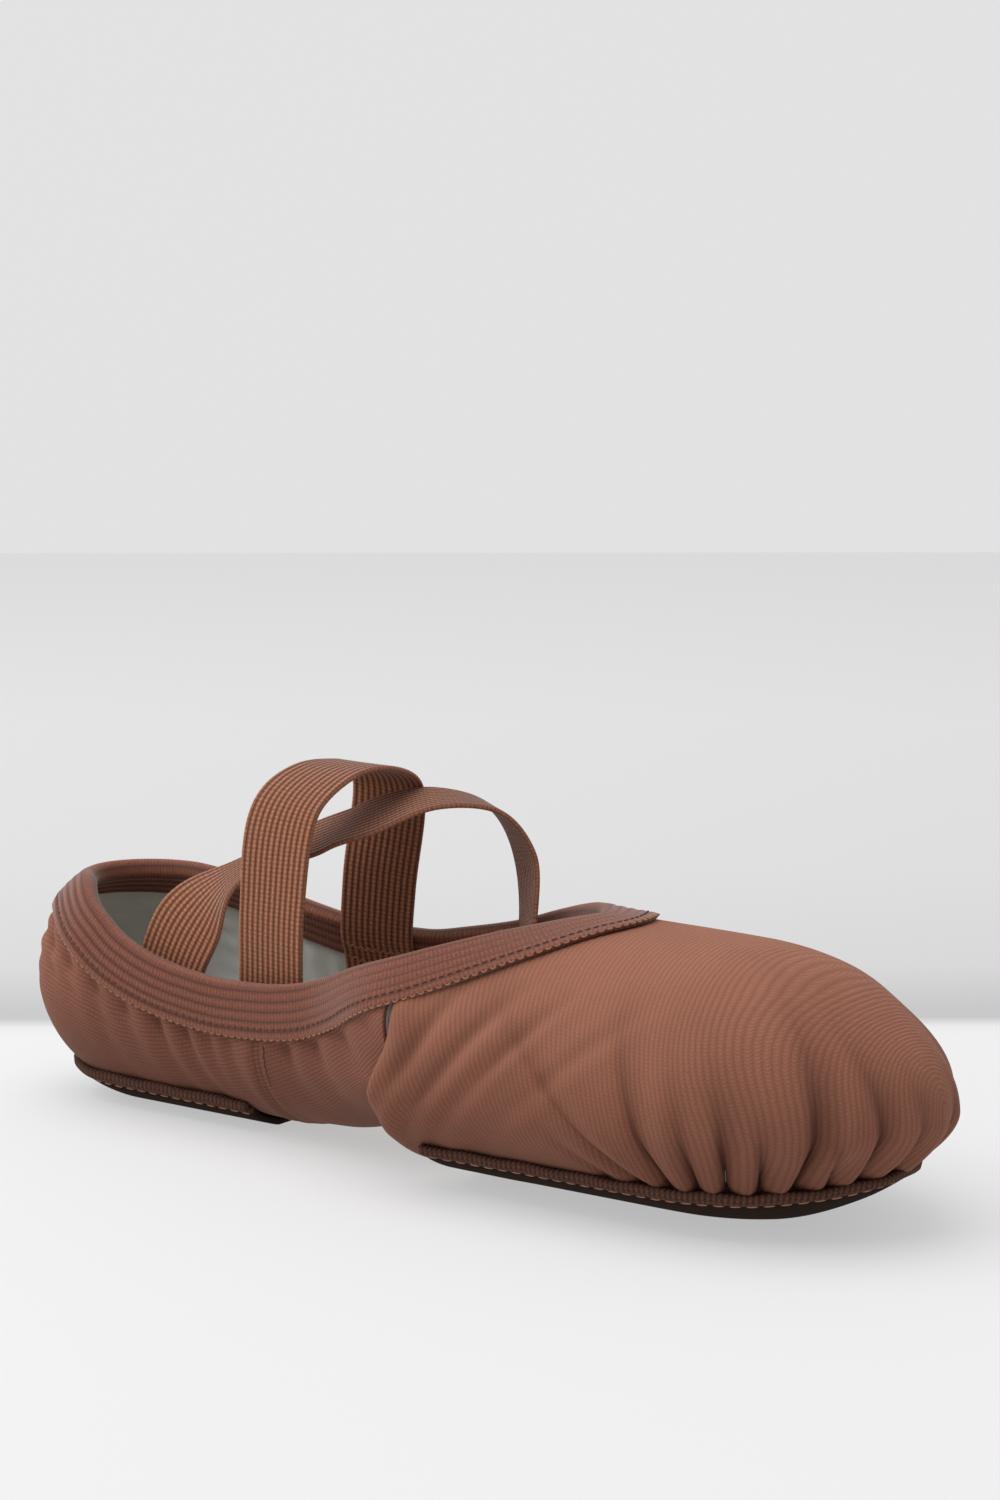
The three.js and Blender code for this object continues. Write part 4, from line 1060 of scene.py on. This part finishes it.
def stitch_row(name, rows, replaced, body, thread=thread_cotton):
    """Each row is a course, its normals, the pitch and the swing to either side."""
    spots, ways = [], []
    for course, normal, pitch, swing in rows:
        spot, out = even_course(course, normal, pitch)
        way = unit(np.gradient(spot, axis=0))
        lean = np.where(np.arange(len(spot)) % 2, 1.0, -1.0)[:, None]
        spots.append(spot)
        ways.append(way * pitch + np.cross(way, out) * lean * swing * 2)
    spots, ways = np.concatenate(spots), np.concatenate(ways)
    mesh = bpy.data.meshes.new(name)
    mesh.from_pydata((spots / 1000 + np.array(origin)).tolist(), [], [])
    mesh.attributes.new("along", "FLOAT_VECTOR", "POINT").data.foreach_set("vector", ways.ravel())
    piece = stand(name, mesh)
    sewing = piece.modifiers.new("sewing", "NODES")
    sewing.node_group = stitches_on_points
    ids = {item.name: item.identifier for item in stitches_on_points.interface.items_tree
           if item.in_out == "INPUT"}
    share = ZIGZAG_SHARE if rows[0][3] else STITCH_SHARE
    sewing[ids["Length"]] = float(np.linalg.norm(ways, axis=1).mean()) * share
    sewing[ids["Thickness"]] = THREAD
    sewing[ids["Thread"]] = thread
    settle(piece)
    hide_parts(*replaced)
    if body == "fold":
        bends_at_fold(piece)
    else:
        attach(piece, body)


def beside_binding(depth, lift):
    """Course on the outside of the collar, a given depth below its edge."""
    rows = []
    for form, edge, down in ((HEEL_FORM, edge_h, down_h), (FORE_FORM, edge_t, down_t)):
        spot, out = on_cloth(form, edge + down * depth)
        rows.append((spot + out * lift, out))
    course, normal = (np.concatenate([r[k] for r in rows] + [rows[0][k][:1]]) for k in (0, 1))
    return smooth_course(course, 3), normal


stitch_row("collar_edge_stitching", [(*beside_binding(10.5, 1.15), 1.0, 0.42)],
           ("heel_binding_stitching", "throat_binding_stitching"), "fold")
stitch_row("collar_dark_stitching", [(*beside_binding(8.4, 1.42), 1.9, 0.0)], (), "fold", dark_thread)
for name, form, lines, body, rim in (
        ("heel_sole", HEEL_FORM, heel_lines(HEEL_PATCH_FRONT, 2, 24, False), "heel", HEEL_RIM),
        ("front_sole", FORE_FORM, fore_lines(FRONT_PATCH_REAR, 2, 40, False), "forefoot", RIM)):
    points, from_rim = patch_grid(form, lines, rim)
    course = np.stack([[np.interp(RIM_BAND, d[::-1], p[::-1, k]) for k in range(3)]
                       for d, p in zip(from_rim, points)])
    out = form_normals(form, course)
    stitch_row(f"{name}_thread", [(course + out * 1.75, out, 3.4, 0.0)], (f"{name}_stitching",), body)


def seam_row(line, above_sole, lift, pitch, swing):
    """A row of stitches down one line of the heel, from the binding to above the sole."""
    grid, out, depth = wall_grid(HEEL_FORM, line, 80)
    seen = (depth[0] > 12) & (depth[0] < depth[0, -1] - above_sole)
    return grid[0][seen] + out[0][seen] * lift, out[0][seen], pitch, swing


for side, word in ((-1, "right"), (1, "left")):
    rows = [seam_row(wall_lines([SIDE_SEAM + shift], side), 3, 0.35, 1.1, 0.22) for shift in (-2.6, 2.6)]
    stitch_row(f"{word}_side_seam_thread", rows, (f"{word}_side_seam_stitching",), "heel", dark_thread)
stitch_row("back_seam_thread", [seam_row(wall_lines([HEEL_CENTRE], -1, 90.0), 2, 0.3, 1.6, 0.3)],
           ("back_seam_stitching",), "heel")
for name, (place, side, ease, sunk) in STRAP_ENDS.items():
    rows = []
    for depth in (3.0, 6.5):
        line = wall_lines(place + np.linspace(-8, 8, 17), side)
        spot, out = down_the_wall(HEEL_FORM, line, depth + sunk)
        rows.append((spot + out * (INSIDE_BINDING - ease - 0.75), out, 1.0, 0.4))
    stitch_row(f"{name}_bar_tack", rows, (f"{name}_tack",), "heel")
